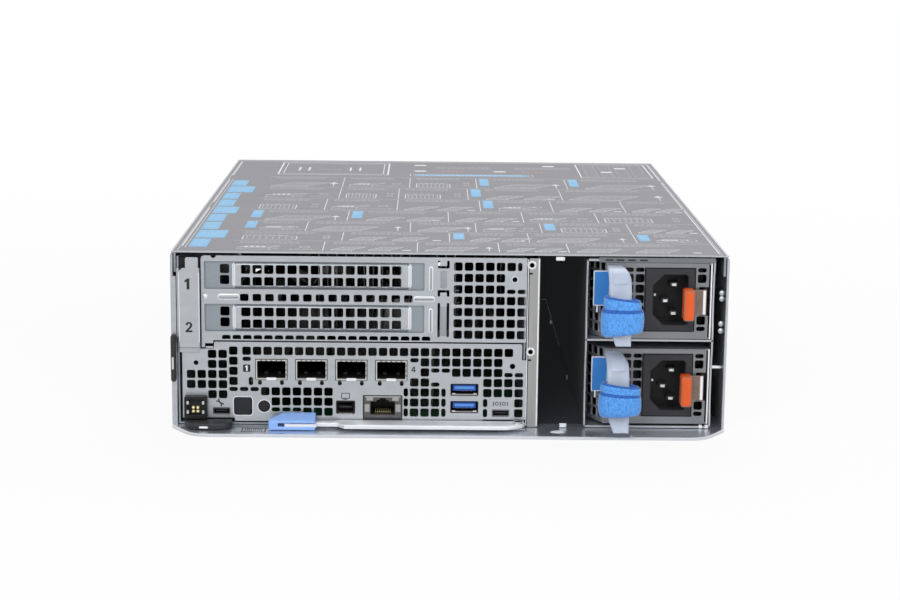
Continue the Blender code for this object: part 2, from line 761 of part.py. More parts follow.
def chassis_tray(carrier):
    """Floor, both side walls and the front lip, bent from one sheet."""
    inner_left, inner_right = LEFT + CHASSIS_SHEET, RIGHT - CHASSIS_SHEET
    channel = [(LEFT, 0), (RIGHT, 0), (RIGHT, WALL_TOP), (inner_right, WALL_TOP),
               (inner_right, FLOOR_TOP), (inner_left, FLOOR_TOP), (inner_left, WALL_TOP), (LEFT, WALL_TOP)]
    corner_back = -(LIP_DEPTH - LIP_CORNER_DEPTH)
    lip = [(LEFT, JOIN_OVERLAP), (LEFT, corner_back), (LEFT + LIP_CORNER_WIDTH, -LIP_DEPTH),
           (RIGHT - LIP_CORNER_WIDTH, -LIP_DEPTH), (RIGHT, corner_back), (RIGHT, JOIN_OVERLAP)]
    hem = block((LEFT + LIP_CORNER_WIDTH, -LIP_DEPTH, 0),
                (RIGHT - LIP_CORNER_WIDTH, LIP_HEM_DEPTH - LIP_DEPTH, LIP_HEM_HEIGHT))
    side_hem_top = CHASSIS_HEIGHT - COVER_SHEET - COVER_FLANGE - SIDE_HEM_DROP
    side_hem = block((inner_left - JOIN_OVERLAP, 0, FLOOR_TOP - JOIN_OVERLAP),
                     (SLED_LEFT - FIT_GAP, SIDE_HEM_LENGTH, side_hem_top))
    solids = [prism(channel, along_y, 0, CHASSIS_DEPTH), prism(lip, along_z, 0, FLOOR_TOP), hem, side_hem]
    cuts = []
    for y in (SIDE_HOLE_FRONT, SIDE_HOLE_REAR):
        for z in (SIDE_HOLE_LOW, SIDE_HOLE_HIGH):
            hole = disc(y, z, SIDE_HOLE_RADIUS)
            cuts.append(prism(hole, along_x, LEFT - CUT_OVERRUN, RIGHT + CUT_OVERRUN))
    slot_x = BAY_LEFT + BAY_WIDTH * BAY_SLOT_SHARE
    slot = ellipse(slot_x, -BAY_SLOT_SETBACK, BAY_SLOT_LENGTH, BAY_SLOT_WIDTH, ROUND_SIDES)
    cuts.append(prism(slot, along_z, -CUT_OVERRUN, FLOOR_TOP + CUT_OVERRUN))
    add("chassis_tray", combine(solids, cuts), "zinc", carrier)


def top_cover(carrier):
    """Flat lid with a flange down the inside of each wall."""
    low = CHASSIS_HEIGHT - COVER_SHEET
    left, right = LEFT + CHASSIS_SHEET + FIT_GAP, RIGHT - CHASSIS_SHEET - FIT_GAP
    outline = [(LEFT, CHASSIS_HEIGHT), (LEFT, low), (left, low), (left, low - COVER_FLANGE),
               (left + COVER_SHEET, low - COVER_FLANGE), (left + COVER_SHEET, low),
               (right - COVER_SHEET, low), (right - COVER_SHEET, low - COVER_FLANGE),
               (right, low - COVER_FLANGE), (right, low), (RIGHT, low), (RIGHT, CHASSIS_HEIGHT)]
    add("top_cover", prism(outline, along_y, 0, CHASSIS_DEPTH), "cover", carrier)


def rear_panel(carrier):
    """Exhaust panel between the side walls, slotted behind the fans and the supplies."""
    back = CHASSIS_DEPTH - FIT_GAP
    left, right = LEFT + CHASSIS_SHEET + FIT_GAP, RIGHT - CHASSIS_SHEET - FIT_GAP
    step = COVER_SHEET + 2 * FIT_GAP
    shoulder = CHASSIS_HEIGHT - COVER_SHEET - COVER_FLANGE - FIT_GAP
    outline = [(left, SLED_FLOOR), (right, SLED_FLOOR), (right, shoulder), (right - step, shoulder),
               (right - step, WALL_TOP), (left + step, WALL_TOP), (left + step, shoulder), (left, shoulder)]
    half_width, half_height = REAR_SLOT_WIDTH / 2, REAR_SLOT_HEIGHT / 2
    first = REAR_SLOT_STEP_X / 2
    columns = []
    for start, width in ((SLED_LEFT, SLED_WIDTH), (PSU_LEFT, PSU_WIDTH)):
        columns += [start + first + i * REAR_SLOT_STEP_X for i in range(int(width // REAR_SLOT_STEP_X))]
    slots = []
    for x in columns:
        for row in range(REAR_SLOT_ROWS):
            z = CHASSIS_HEIGHT / 2 + (row - (REAR_SLOT_ROWS - 1) / 2) * REAR_SLOT_STEP_Z
            slots.append(rect(x - half_width, x + half_width, z - half_height, z + half_height))
    add("rear_panel", prism(outline, along_y, back - REAR_SHEET, back, slots), "zinc", carrier)


def bay_divider(carrier):
    """Wall between the sled and the empty bay, with the two lugs that take the sled's screws."""
    right = BAY_LEFT
    inner = right - DIVIDER_SHEET
    profile = [(DIVIDER_LEFT, 0), (right, 0), (right, DIVIDER_LENGTH), (inner, DIVIDER_LENGTH),
               (inner, DIVIDER_SHEET), (DIVIDER_LEFT, DIVIDER_SHEET)]
    solids = [prism(profile, along_z, SLED_FLOOR, WALL_TOP - FIT_GAP)]
    cuts = []
    for z in LUG_HEIGHTS:
        x = DIVIDER_LEFT + LUG_INSET
        solids.append(prism(disc(x, z, LUG_RADIUS), along_y, -LUG_PROUD, DIVIDER_SHEET - JOIN_OVERLAP))
        cuts.append(prism(disc(x, z, SCREW_HOLE_RADIUS), along_y, -CUT_OVERRUN, DIVIDER_SHEET + CUT_OVERRUN))
    add("bay_divider", combine(solids, cuts), "zinc", carrier)


def psu_floor(number):
    """Height of the underside of supply 1, the upper one, or supply 2, the lower one."""
    return PSU_FLOOR + (PSU_PITCH if number == 1 else 0)


def psu_cage(carrier):
    """Two stacked tunnels that guide the power supplies."""
    top = PSU_CAGE_TOP - PSU_CAGE_SHEET
    inner_left, inner_right = PSU_CAGE_LEFT + PSU_CAGE_SHEET, PSU_CAGE_RIGHT - PSU_CAGE_SHEET
    shelf_top = psu_floor(1) - SHELF_DROP
    outer = rect(PSU_CAGE_LEFT, PSU_CAGE_RIGHT, SLED_FLOOR, PSU_CAGE_TOP)
    tunnels = [rect(inner_left, inner_right, shelf_top, top),
               rect(inner_left, inner_right, SLED_FLOOR + PSU_CAGE_BASE, shelf_top - SHELF_SHEET)]
    add("psu_cage", prism(outer, along_y, 0, PSU_CAGE_LENGTH, tunnels), "zinc", carrier)
    pin = disc(CAGE_PIN_SETBACK, CAGE_PIN_HEIGHT, CAGE_PIN_RADIUS)
    rod = prism(pin, along_x, PSU_CAGE_RIGHT + FIT_GAP, RIGHT - CHASSIS_SHEET - FIT_GAP)
    add("cage_pin", rod, "bright_steel", carrier, smooth=True)


def side_clip(carrier):
    """Black clip on the front edge of the left wall."""
    outline = rounded(LEFT, LEFT + CLIP_WIDTH, CLIP_BOTTOM, CLIP_BOTTOM + CLIP_LENGTH, CLIP_CORNER)
    add("side_clip", prism(outline, along_y, -FIT_GAP - CLIP_DEPTH, -FIT_GAP), "charcoal", carrier)


def power_board(carrier):
    """Board behind the supplies, with a socket for each and two bars to the sled's socket."""
    front = PSU_CAGE_LENGTH + FIT_GAP
    back = front + BOARD_SHEET
    left, right = PSU_CAGE_LEFT + POWER_BOARD_MARGIN, PSU_CAGE_RIGHT - POWER_BOARD_MARGIN
    top = psu_floor(1) + PSU_HEIGHT
    solids = [block((left, front, SLED_FLOOR), (right, back, top))]
    middle = (PSU_LEFT + PSU_RIGHT) / 2
    for number in (1, 2):
        low = psu_floor(number) + PSU_HEIGHT / 2 - POWER_SOCKET_HEIGHT / 2
        solids.append(block((middle - POWER_SOCKET_WIDTH / 2, front - POWER_SOCKET_DEPTH, low),
                            (middle + POWER_SOCKET_WIDTH / 2, front + JOIN_OVERLAP, low + POWER_SOCKET_HEIGHT)))
    add("power_board", combine(solids), "board", carrier)
    socket_right = SLED_WALL_RIGHT - SLED_SHEET - FIT_GAP
    rear = CHASSIS_DEPTH - REAR_SHEET - 2 * FIT_GAP
    x, y = left + BUS_BAR_INSET, rear - BUS_BAR_RETURN
    bar = [(x, back + FIT_GAP), (x + BUS_BAR_SHEET, back + FIT_GAP), (x + BUS_BAR_SHEET, y + BUS_BAR_SHEET),
           (socket_right + FIT_GAP, y + BUS_BAR_SHEET), (socket_right + FIT_GAP, y), (x, y)]
    high_bar = PLUG_BOTTOM + PLUG_HEIGHT - BUS_BAR_WIDTH
    for name, low in (("bus_bar_low", PLUG_BOTTOM), ("bus_bar_high", high_bar)):
        add(name, prism(bar, along_z, low, low + BUS_BAR_WIDTH), "copper", carrier)
    tongue_front = SLED_LENGTH + FIT_GAP
    low, high = PLUG_BOTTOM, PLUG_BOTTOM + PLUG_HEIGHT
    frame = rect(socket_right - PLUG_WIDTH, socket_right, low, high)
    well = grown(socket_right - PLUG_WIDTH, socket_right, low, high, -SOCKET_WALL)
    mouth = prism(frame, along_y, tongue_front, tongue_front + PLUG_TONGUE + FIT_GAP, [well])
    base = prism(frame, along_y, tongue_front + PLUG_TONGUE, rear)
    add("sled_power_socket", combine([mouth, base]), "black", carrier)


def sled_tray(carrier):
    """Floor and walls of the sled, with pressed standoffs and the tongue under the lever's pivot."""
    left, right = SLED_LEFT, SLED_WALL_RIGHT
    top = UPPER_TOP - FIT_GAP
    inner_left, inner_right = left + SLED_SHEET, right - SLED_SHEET
    channel = [(left, SLED_FLOOR), (right, SLED_FLOOR), (right, top), (inner_right, top),
               (inner_right, SLED_FLOOR_TOP), (inner_left, SLED_FLOOR_TOP), (inner_left, top), (left, top)]
    tongue = block((right - LEVER_TONGUE_WIDTH, -LEVER_TONGUE_LENGTH, SLED_FLOOR),
                   (right, BEHIND_PANEL + JOIN_OVERLAP, SLED_FLOOR_TOP))
    solids = [prism(channel, along_y, BEHIND_PANEL, SLED_LENGTH), tongue]
    for share_x, share_y in STANDOFF_SHARES:
        x = BOARD_LEFT + share_x * (BOARD_RIGHT - BOARD_LEFT)
        y = BOARD_SETBACK + share_y * BOARD_LENGTH
        foot = disc(x, y, STANDOFF_RADIUS)
        solids.append(prism(foot, along_z, SLED_FLOOR_TOP - JOIN_OVERLAP, SLED_FLOOR_TOP + STANDOFF_HEIGHT))
    add("sled_tray", combine(solids), "zinc", carrier)


def grown(left, right, low, high, gap=FIT_GAP):
    """The clearance hole around a rectangular piece."""
    return rect(left - gap, right + gap, low - gap, high + gap)


def cage_place(index):
    """Left edge and underside of a network cage."""
    return IO_LEFT + CAGE_INSET + index * CAGE_STEP, CARD_TOP + FIT_GAP


def io_panel(carrier):
    """Perforated lower panel with a cut-out for every socket and button."""
    right = SLED_RIGHT
    outline = [(IO_LEFT, IO_PANEL_BOTTOM), (right, IO_PANEL_BOTTOM), (right, IO_TOP - IO_NOTCH_DROP),
               (right - IO_NOTCH_WIDTH, IO_TOP - IO_NOTCH_DROP), (right - IO_NOTCH_WIDTH, IO_TOP),
               (IO_LEFT + IO_CORNER_WIDTH, IO_TOP), (IO_LEFT + IO_CORNER_WIDTH, IO_TOP - IO_CORNER_DROP),
               (IO_LEFT, IO_TOP - IO_CORNER_DROP)]
    start = IO_LEFT + IO_LEFT_GRID_INSET
    holes = perforation(IO_LEFT_MAP, start, IO_TOP - IO_LEFT_GRID_DROP, IO_LEFT_GRID_STEP, HOLE_STEP_Z)
    start += len(IO_LEFT_MAP[0]) * IO_LEFT_GRID_STEP
    holes += perforation(IO_MIDDLE_MAP, start, IO_TOP - IO_GRID_DROP, IO_LEFT_GRID_STEP, HOLE_STEP_Z)
    holes += perforation(IO_RIGHT_MAP, IO_LEFT + IO_GRID_INSET, IO_TOP - IO_GRID_DROP, HOLE_STEP_X, HOLE_STEP_Z)
    for share_x, share_z in IO_SCREW_SHARES:
        x, z = IO_LEFT + share_x * IO_WIDTH, IO_PANEL_BOTTOM + share_z * IO_PANEL_HEIGHT
        holes.append(disc(x, z, SCREW_HOLE_RADIUS))
    for index in range(4):
        x, z = cage_place(index)
        holes.append(grown(x, x + CAGE_WIDTH, z, z + CAGE_HEIGHT))
        for foot in (x + CAGE_FOOT_INSET, x + CAGE_WIDTH - CAGE_FOOT_INSET):
            high = z - CAGE_WALL - FIT_GAP
            half = CAGE_FOOT_WIDTH / 2
            holes.append(rect(foot - half, foot + half, high - CAGE_FOOT_HEIGHT, high))
    base = BOARD_TOP + FIT_GAP
    jack = IO_LEFT + JACK_INSET
    holes.append(grown(jack, jack + JACK_WIDTH, base, base + JACK_HEIGHT))
    for left, bottom, width, height, wall in socket_places():
        holes.append(grown(left - wall, left + width + wall, bottom - wall, bottom + height + wall))
    power = IO_LEFT + POWER_BUTTON_INSET
    low = IO_PANEL_BOTTOM + BUTTON_RISE
    holes.append(rounded(power - FIT_GAP, power + POWER_BUTTON + FIT_GAP, low - FIT_GAP,
                         low + POWER_BUTTON + FIT_GAP, POWER_BUTTON_CORNER))
    holes.append(disc(IO_LEFT + ID_BUTTON_INSET, low + POWER_BUTTON / 2, ID_BUTTON_RADIUS + FIT_GAP))
    margin = (BLOCK_WIDTH - BLOCK_RECESS) / 2
    left = IO_LEFT + BLOCK_INSET + margin
    low = IO_PANEL_BOTTOM + (BLOCK_HEIGHT - BLOCK_RECESS) / 2
    holes.append(rect(left, left + BLOCK_RECESS, low, low + BLOCK_RECESS))
    add("io_panel", prism(outline, along_y, 0, PANEL_SHEET, holes), "zinc", carrier)


def window_place(slot):
    """The card window of slot 1, the upper one, or slot 2."""
    left = UPPER_LEFT + WINDOW_INSET
    high = UPPER_TOP - (WINDOW_HIGH_DROP if slot == 1 else WINDOW_LOW_DROP)
    return left, left + WINDOW_WIDTH, high - WINDOW_HEIGHT, high


def card_panel(carrier):
    """Upper panel, with two card windows and the square grille at their right."""
    foot_x, foot_right = UPPER_LEFT + UPPER_FOOT_WIDTH, IO_LEFT + IO_CORNER_WIDTH - FIT_GAP
    foot_low = UPPER_BOTTOM - IO_CORNER_DROP
    foot_high = foot_low + UPPER_FOOT_LIFT
    outline = [(UPPER_LEFT, foot_low), (foot_x, foot_low), (foot_x, foot_high), (foot_right, foot_high),
               (foot_right, UPPER_BOTTOM), (UPPER_RIGHT, UPPER_BOTTOM), (UPPER_RIGHT, UPPER_TOP)]
    radius = UPPER_CORNER_RADIUS
    centre = (UPPER_LEFT + radius, UPPER_TOP - radius)
    for step in range(4):
        angle = math.pi / 2 * (1 + step / 3)
        outline.append((centre[0] + radius * math.cos(angle), centre[1] + radius * math.sin(angle)))
    holes = [rect(*window_place(1)), rect(*window_place(2))]
    bar = (window_place(1)[2] + window_place(2)[3]) / 2
    for index in range(BAR_HOLE_COUNT):
        x = UPPER_LEFT + BAR_HOLE_INSET + index * BAR_HOLE_STEP
        holes.append(rect(x - HOLE / 2, x + HOLE / 2, bar - HOLE / 2, bar + HOLE / 2))
    for index in range(FOOT_HOLE_COUNT):
        x = UPPER_LEFT + FOOT_HOLE_INSET + index * HOLE_STEP_X
        low = UPPER_BOTTOM + FOOT_HOLE_RISE
        holes.append(rect(x - HOLE / 2, x + HOLE / 2, low, low + FOOT_HOLE_HEIGHT))
    for low_share, high_share in TIE_SLOT_SHARES:
        for side in range(2):
            x = UPPER_LEFT + TIE_SLOT_INSET + side * TIE_SLOT_SPREAD
            holes.append(rect(x, x + TIE_SLOT_WIDTH, UPPER_BOTTOM + low_share * UPPER_PANEL_HEIGHT,
                              UPPER_BOTTOM + high_share * UPPER_PANEL_HEIGHT))
    start = UPPER_LEFT + GRILLE_INSET
    holes += perforation(GRILLE_MAP, start, UPPER_TOP - GRILLE_DROP, GRILLE_STEP_X, GRILLE_STEP_Z)
    holes.append(disc(UPPER_LEFT + GRILLE_SCREW_INSET, UPPER_TOP - GRILLE_SCREW_DROP, SCREW_HOLE_RADIUS))
    add("card_panel", prism(outline, along_y, 0, PANEL_SHEET, holes), "zinc", carrier)


def slot_filler(slot, carrier):
    """Blanking bracket of one card slot, its perforated field pressed forward."""
    left, right, low, high = window_place(slot)
    field_left = left + FILLER_FIELD_INSET
    field_right = field_left + FILLER_FIELD_WIDTH
    outer = rect(field_left, field_right, low + FILLER_FIELD_MARGIN, high - FILLER_FIELD_MARGIN)
    edge = FILLER_FIELD_MARGIN + FILLER_SLOPE
    inner = rect(field_left + FILLER_SLOPE, field_right - FILLER_SLOPE, low + edge, high - edge)
    base, raised = BEHIND_PANEL, BEHIND_PANEL - FILLER_EMBOSS

    def at(points, depth):
        return [(u, v, depth) for u, v in points]

    half = HOLE / 2
    lone, field = [], []
    for row in range(2):
        x, z = left + FILLER_LONE_INSET, high - FILLER_HOLE_DROP - row * FILLER_LONE_STEP
        lone.append(at(rect(x - half, x + half, z - half, z + half), base))
        z = high - FILLER_HOLE_DROP - row * FILLER_HOLE_STEP_Z
        for column in range(FILLER_HOLE_COUNT):
            x = field_left + FILLER_HOLE_INSET + column * FILLER_HOLE_STEP_X
            field.append(at(rect(x - half, x + half, z - half, z + half), raised))
    border = grown(left, right, low, high, FILLER_MARGIN)
    regions = [(at(border, base), [at(outer, base)] + lone), (at(outer, base), [at(inner, raised)]),
               (at(inner, raised), field)]
    add(f"slot_filler_{slot}", sheet_mesh(regions, PANEL_SHEET, along_y), "zinc", carrier)


def slot_latch(sled):
    """Plate that holds the card brackets, hinged at its foot on a pressed bracket."""
    left = SLED_LEFT + SLOT_LATCH_INSET
    right = left + SLOT_LATCH_WIDTH
    bottom, top = SLOT_LATCH_BOTTOM, SLOT_LATCH_BOTTOM + SLOT_LATCH_HEIGHT
    tab = left + SLOT_TAB_INSET
    plate = [(left, bottom), (right, bottom), (right, top), (tab + SLOT_TAB_WIDTH, top),
             (tab + SLOT_TAB_WIDTH, top + SLOT_TAB_HEIGHT), (tab, top + SLOT_TAB_HEIGHT), (tab, top),
             (left + SLOT_TAB_INSET / 2, top), (left, top - SLOT_TAB_INSET / 2)]
    y, z = -SLOT_PIN_SETBACK, bottom + SLOT_PIN_RISE
    ear = SLOT_EAR_SHEET
    back = -SLOT_LATCH_STANDOFF
    knuckle = [(back - JOIN_OVERLAP, z - SLOT_KNUCKLE_RADIUS), (y, z - SLOT_KNUCKLE_RADIUS)]
    knuckle += disc(y, z, SLOT_KNUCKLE_RADIUS)[-2:] + disc(y, z, SLOT_KNUCKLE_RADIUS)[:3]
    knuckle += [(y, z + SLOT_KNUCKLE_RADIUS), (back - JOIN_OVERLAP, z + SLOT_KNUCKLE_RADIUS)]
    bore = disc(y, z, SLOT_PIN_RADIUS + FIT_GAP)
    hub = prism(knuckle, along_x, left + ear + FIT_GAP, right - ear - FIT_GAP)
    hole = prism(bore, along_x, left, right)
    latch = combine([prism(plate, along_y, back - SLOT_LATCH_SHEET, back), hub], [hole])
    add("slot_latch", latch, "zinc", body("slot_latch", (0, y, z), sled))
    bracket = [block((left, BEHIND_PANEL, z - SLOT_EAR_RADIUS),
                     (right, BEHIND_PANEL + PANEL_SHEET, UPPER_TOP - PANEL_SHEET)),
               prism(disc(y, z, SLOT_PIN_RADIUS), along_x, left + ear / 2, right - ear / 2)]
    for x in (left, right - ear):
        arm = [(y, z - SLOT_EAR_RADIUS), (BEHIND_PANEL + JOIN_OVERLAP, z - SLOT_EAR_RADIUS),
               (BEHIND_PANEL + JOIN_OVERLAP, z + SLOT_EAR_RADIUS), (y, z + SLOT_EAR_RADIUS)]
        arm += disc(y, z, SLOT_EAR_RADIUS)[4:9]
        bracket.append(prism(arm, along_x, x, x + ear))
    add("slot_latch_bracket", combine(bracket), "zinc", sled)


def sled_lever(sled):
    """Ejector lever across the foot of the sled, its pivot pin and its blue release latch."""
    tip = SLED_RIGHT - LEVER_LENGTH
    pivot_x, pivot_y = LEVER_PIVOT.x, LEVER_PIVOT.y
    outline = []
    for step in range(6):
        angle = math.radians(90 - 30 * step)
        arc_x, arc_y = LEVER_EYE_RADIUS * math.cos(angle), LEVER_EYE_RADIUS * math.sin(angle)
        outline.append((pivot_x + arc_x, pivot_y + arc_y))
    step_x = tip + LEVER_STEP_START
    outline += [(SLED_RIGHT - LEVER_BEND_WIDTH, -LEVER_DEPTH), (step_x + LEVER_STEP_WIDTH, -LEVER_DEPTH),
                (step_x, LEVER_STEP - LEVER_DEPTH), (tip, LEVER_STEP - LEVER_DEPTH),
                (tip, -LEVER_TIP_BACK), (tip + LEVER_TIP_LENGTH, -LEVER_TIP_BACK),
                (tip + LEVER_TIP_LENGTH + LEVER_TIP_BACK, pivot_y + LEVER_EYE_RADIUS)]
    eye = disc(pivot_x, pivot_y, LEVER_HOLE_RADIUS)
    carrier = body("sled_lever", LEVER_PIVOT, sled)
    add("sled_lever", prism(outline, along_z, LEVER_BOTTOM, LEVER_TOP, [eye]), "bright_steel", carrier)
    head = LEVER_TOP + FIT_GAP
    shank = prism(disc(pivot_x, pivot_y, LEVER_PIN_RADIUS), along_z, LEVER_BOTTOM, head + LEVER_PIN_HEAD / 2)
    cap = prism(disc(pivot_x, pivot_y, LEVER_PIN_HEAD_RADIUS), along_z, head, head + LEVER_PIN_HEAD)
    add("lever_pin", combine([shank, cap]), "bright_steel", sled)
    release_latch(tip, carrier)


def release_latch(tip, lever):
    """Sprung grip that wraps the end of the lever."""
    left = tip - CATCH_OVERHANG
    right = left + CATCH_LENGTH
    low, high = SLED_FLOOR, LEVER_TOP + FIT_GAP
    front, back = -CATCH_FRONT, -CATCH_BACK
    floor_top = LEVER_BOTTOM - FIT_GAP
    web = -LEVER_TIP_BACK + FIT_GAP
    roof_front, roof_back = high + CATCH_ROOF, high + CATCH_ROOF + CATCH_RISE
    lip_back, lip_top = front + CATCH_LIP, floor_top + CATCH_LIP_HEIGHT
    sleeve = [(front, low), (back, low), (back, roof_back), (front, roof_front), (front, high), (web, high),
              (web, floor_top), (lip_back, floor_top), (lip_back, lip_top), (front, lip_top)]
    end = [(front, low), (back, low), (back, roof_back), (front, roof_front)]
    corner = [(left - CUT_OVERRUN, back - CATCH_CORNER - CUT_OVERRUN),
              (left + CATCH_CORNER + CUT_OVERRUN, back + CUT_OVERRUN), (left - CUT_OVERRUN, back + CUT_OVERRUN)]
    solids = [prism(sleeve, along_x, left + CATCH_END - JOIN_OVERLAP, right),
              prism(end, along_x, left, left + CATCH_END)]
    latch = combine(solids, [prism(corner, along_z, 0, roof_back + CUT_OVERRUN)])
    add("release_latch", latch, "blue", body("release_latch", (left, front, low), lever))


def information_tag(sled):
    """Black pull-out tag at the foot of the sled."""
    left = SLED_LEFT + TAG_INSET
    back = -TAG_GRIP_BACK
    grip = [(left + TAG_WIDTH, back), (left, back)]
    for share_x, share_y in TAG_FRONT_SHARES:
        grip.append((left + share_x * TAG_WIDTH, back - share_y * TAG_GRIP_DEPTH))
    low = SLED_FLOOR_TOP + FIT_GAP
    blade = block((left + TAG_BLADE_MARGIN, back - JOIN_OVERLAP, low),
                  (left + TAG_WIDTH - TAG_BLADE_MARGIN, TAG_BLADE_LENGTH, low + TAG_BLADE_SHEET))
    tag = combine([prism(grip, along_z, SLED_FLOOR, SLED_FLOOR + TAG_GRIP_HEIGHT), blade])
    add("information_tag", tag, "charcoal", body("information_tag", (left, back, SLED_FLOOR), sled))


def boards(sled):
    """System board, network card and riser."""
    front, back = BOARD_SETBACK, BOARD_SETBACK + BOARD_LENGTH
    add("system_board", block((BOARD_LEFT, front, BOARD_BOTTOM), (BOARD_RIGHT, back, BOARD_TOP)), "board", sled)
    first, last = cage_place(0)[0], cage_place(3)[0] + CAGE_WIDTH
    left, right = first - CARD_MARGIN, last + CARD_MARGIN
    base, underside = BOARD_TOP + FIT_GAP, CARD_TOP - BOARD_SHEET
    card = block((left, front, underside), (right, front + CARD_DEPTH, CARD_TOP))
    post = block((left + CARD_MARGIN, MEZZANINE_SETBACK, base),
                 (right - CARD_MARGIN, MEZZANINE_SETBACK + MEZZANINE_DEPTH, underside + JOIN_OVERLAP))
    add("network_card", combine([card, post]), "board", sled)
    x = SLED_RIGHT - RISER_INSET
    riser_back, riser_top = RISER_SETBACK + RISER_DEPTH, UPPER_TOP - RISER_DROP
    riser = [block((x, RISER_SETBACK, base), (x + BOARD_SHEET, riser_back, riser_top))]
    for slot in (1, 2):
        low, high = window_place(slot)[2:]
        low = (low + high) / 2 - RISER_SLOT_HEIGHT / 2
        riser.append(block((x - RISER_SLOT_REACH, RISER_SLOT_SETBACK, low),
                           (x + JOIN_OVERLAP, RISER_SLOT_SETBACK + RISER_SLOT_DEPTH, low + RISER_SLOT_HEIGHT)))
    add("riser_card", combine(riser), "board", sled)


def processor_and_memory(sled):
    """Processor, finned heat sink and two memory modules in their sockets."""
    base = BOARD_TOP + FIT_GAP
    left = SLED_LEFT + SINK_INSET
    middle_x, middle_y = left + SINK_WIDTH / 2, SINK_SETBACK + SINK_LENGTH / 2
    half = PROCESSOR_SIZE / 2
    chip_top = base + PROCESSOR_HEIGHT
    chip = block((middle_x - half, middle_y - half, base), (middle_x + half, middle_y + half, chip_top))
    add("processor", chip, "charcoal", sled)
    low = chip_top + FIT_GAP
    root, tip = low + SINK_BASE, low + SINK_HEIGHT
    pitch = (SINK_WIDTH - SINK_FIN) / (SINK_FIN_COUNT - 1)
    comb = [(left + SINK_WIDTH, low), (left, low)]
    for index in range(SINK_FIN_COUNT):
        x = left + index * pitch
        comb += [(x, root), (x, tip), (x + SINK_FIN, tip), (x + SINK_FIN, root)]
    comb.pop(2)
    comb.pop()
    add("heat_sink", prism(comb, along_y, SINK_SETBACK, SINK_SETBACK + SINK_LENGTH), "aluminium", sled)
    centres = (SLED_LEFT + MODULE_INSET, SLED_WALL_RIGHT - MODULE_INSET)
    for number, x in enumerate(centres, 1):
        socket = block((x - MODULE_SOCKET / 2, MODULE_SETBACK, base),
                       (x + MODULE_SOCKET / 2, MODULE_SETBACK + MODULE_LENGTH, base + MODULE_SOCKET_HEIGHT))
        end = (MODULE_SOCKET - MODULE_SHEET) / 2
        card = block((x - MODULE_SHEET / 2, MODULE_SETBACK + end, base + MODULE_SOCKET_HEIGHT - JOIN_OVERLAP),
                     (x + MODULE_SHEET / 2, MODULE_SETBACK + MODULE_LENGTH - end, base + MODULE_HEIGHT))
        add(f"memory_module_{number}", combine([socket, card]), "board", sled)


def network_cages(sled):
    """Four open-fronted cages for pluggable network modules."""
    for index in range(4):
        x, z = cage_place(index)
        outer = rect(x, x + CAGE_WIDTH, z, z + CAGE_HEIGHT)
        inner = grown(x, x + CAGE_WIDTH, z, z + CAGE_HEIGHT, -CAGE_WALL)
        back = CAGE_LENGTH - CAGE_PROUD
        tube = prism(outer, along_y, -CAGE_PROUD, back, [inner])
        plug = prism(outer, along_y, back - JOIN_OVERLAP, back + CAGE_WALL)
        add(f"network_cage_{index + 1}", combine([tube, plug]), "bright_steel", sled)


def network_jack(sled):
    """Eight-way network jack, its mouth notched for the plug's clip."""
    left, low = IO_LEFT + JACK_INSET, BOARD_TOP + FIT_GAP
    outer = rect(left, left + JACK_WIDTH, low, low + JACK_HEIGHT)
    front = rect(left, left + JACK_WIDTH, low, low + JACK_HEIGHT)
    mouth_left = left + (JACK_WIDTH - JACK_MOUTH_WIDTH) / 2
    mouth_right = mouth_left + JACK_MOUTH_WIDTH
    clip_left = left + (JACK_WIDTH - JACK_CLIP_WIDTH) / 2
    mouth_low = low + JACK_MOUTH_RISE
    mouth_high = mouth_low + JACK_MOUTH_HEIGHT
    clip_right, clip_high = clip_left + JACK_CLIP_WIDTH, mouth_high + JACK_CLIP_HEIGHT
    mouth = [(mouth_left, mouth_low), (mouth_right, mouth_low), (mouth_right, mouth_high), (clip_right, mouth_high),
             (clip_right, clip_high), (clip_left, clip_high), (clip_left, mouth_high), (mouth_left, mouth_high)]
    shield = prism(front, along_y, -JACK_PROUD, PANEL_SHEET, [mouth])
    shell = prism(outer, along_y, PANEL_SHEET - JOIN_OVERLAP, JACK_MOUTH_DEPTH, [mouth])
    back = prism(outer, along_y, JACK_MOUTH_DEPTH - JOIN_OVERLAP, JACK_LENGTH)
    add("network_jack", combine([shield, shell, back]), "dark_zinc", sled)


def socket_places():
    """Left edge, underside, size and shell wall of each small socket's mouth."""
    base = BOARD_TOP + FIT_GAP
    bus = IO_LEFT + BUS_INSET + (BUS_WIDTH - BUS_MOUTH_WIDTH) / 2
    low = base + BUS_MOUTH_RISE
    return ((bus, low, BUS_MOUTH_WIDTH, BUS_MOUTH_HEIGHT, BUS_WALL),
            (bus, low + BUS_MOUTH_STEP, BUS_MOUTH_WIDTH, BUS_MOUTH_HEIGHT, BUS_WALL),
            (IO_LEFT + DISPLAY_INSET, base + DISPLAY_RISE, DISPLAY_WIDTH, DISPLAY_HEIGHT, SMALL_JACK_WALL),
            (IO_LEFT + SERVICE_INSET, base + SERVICE_RISE, SERVICE_WIDTH, SERVICE_HEIGHT, SMALL_JACK_WALL),
            (IO_LEFT + SERIAL_INSET, base + SERVICE_RISE, SERVICE_WIDTH, SERVICE_HEIGHT, SMALL_JACK_WALL))


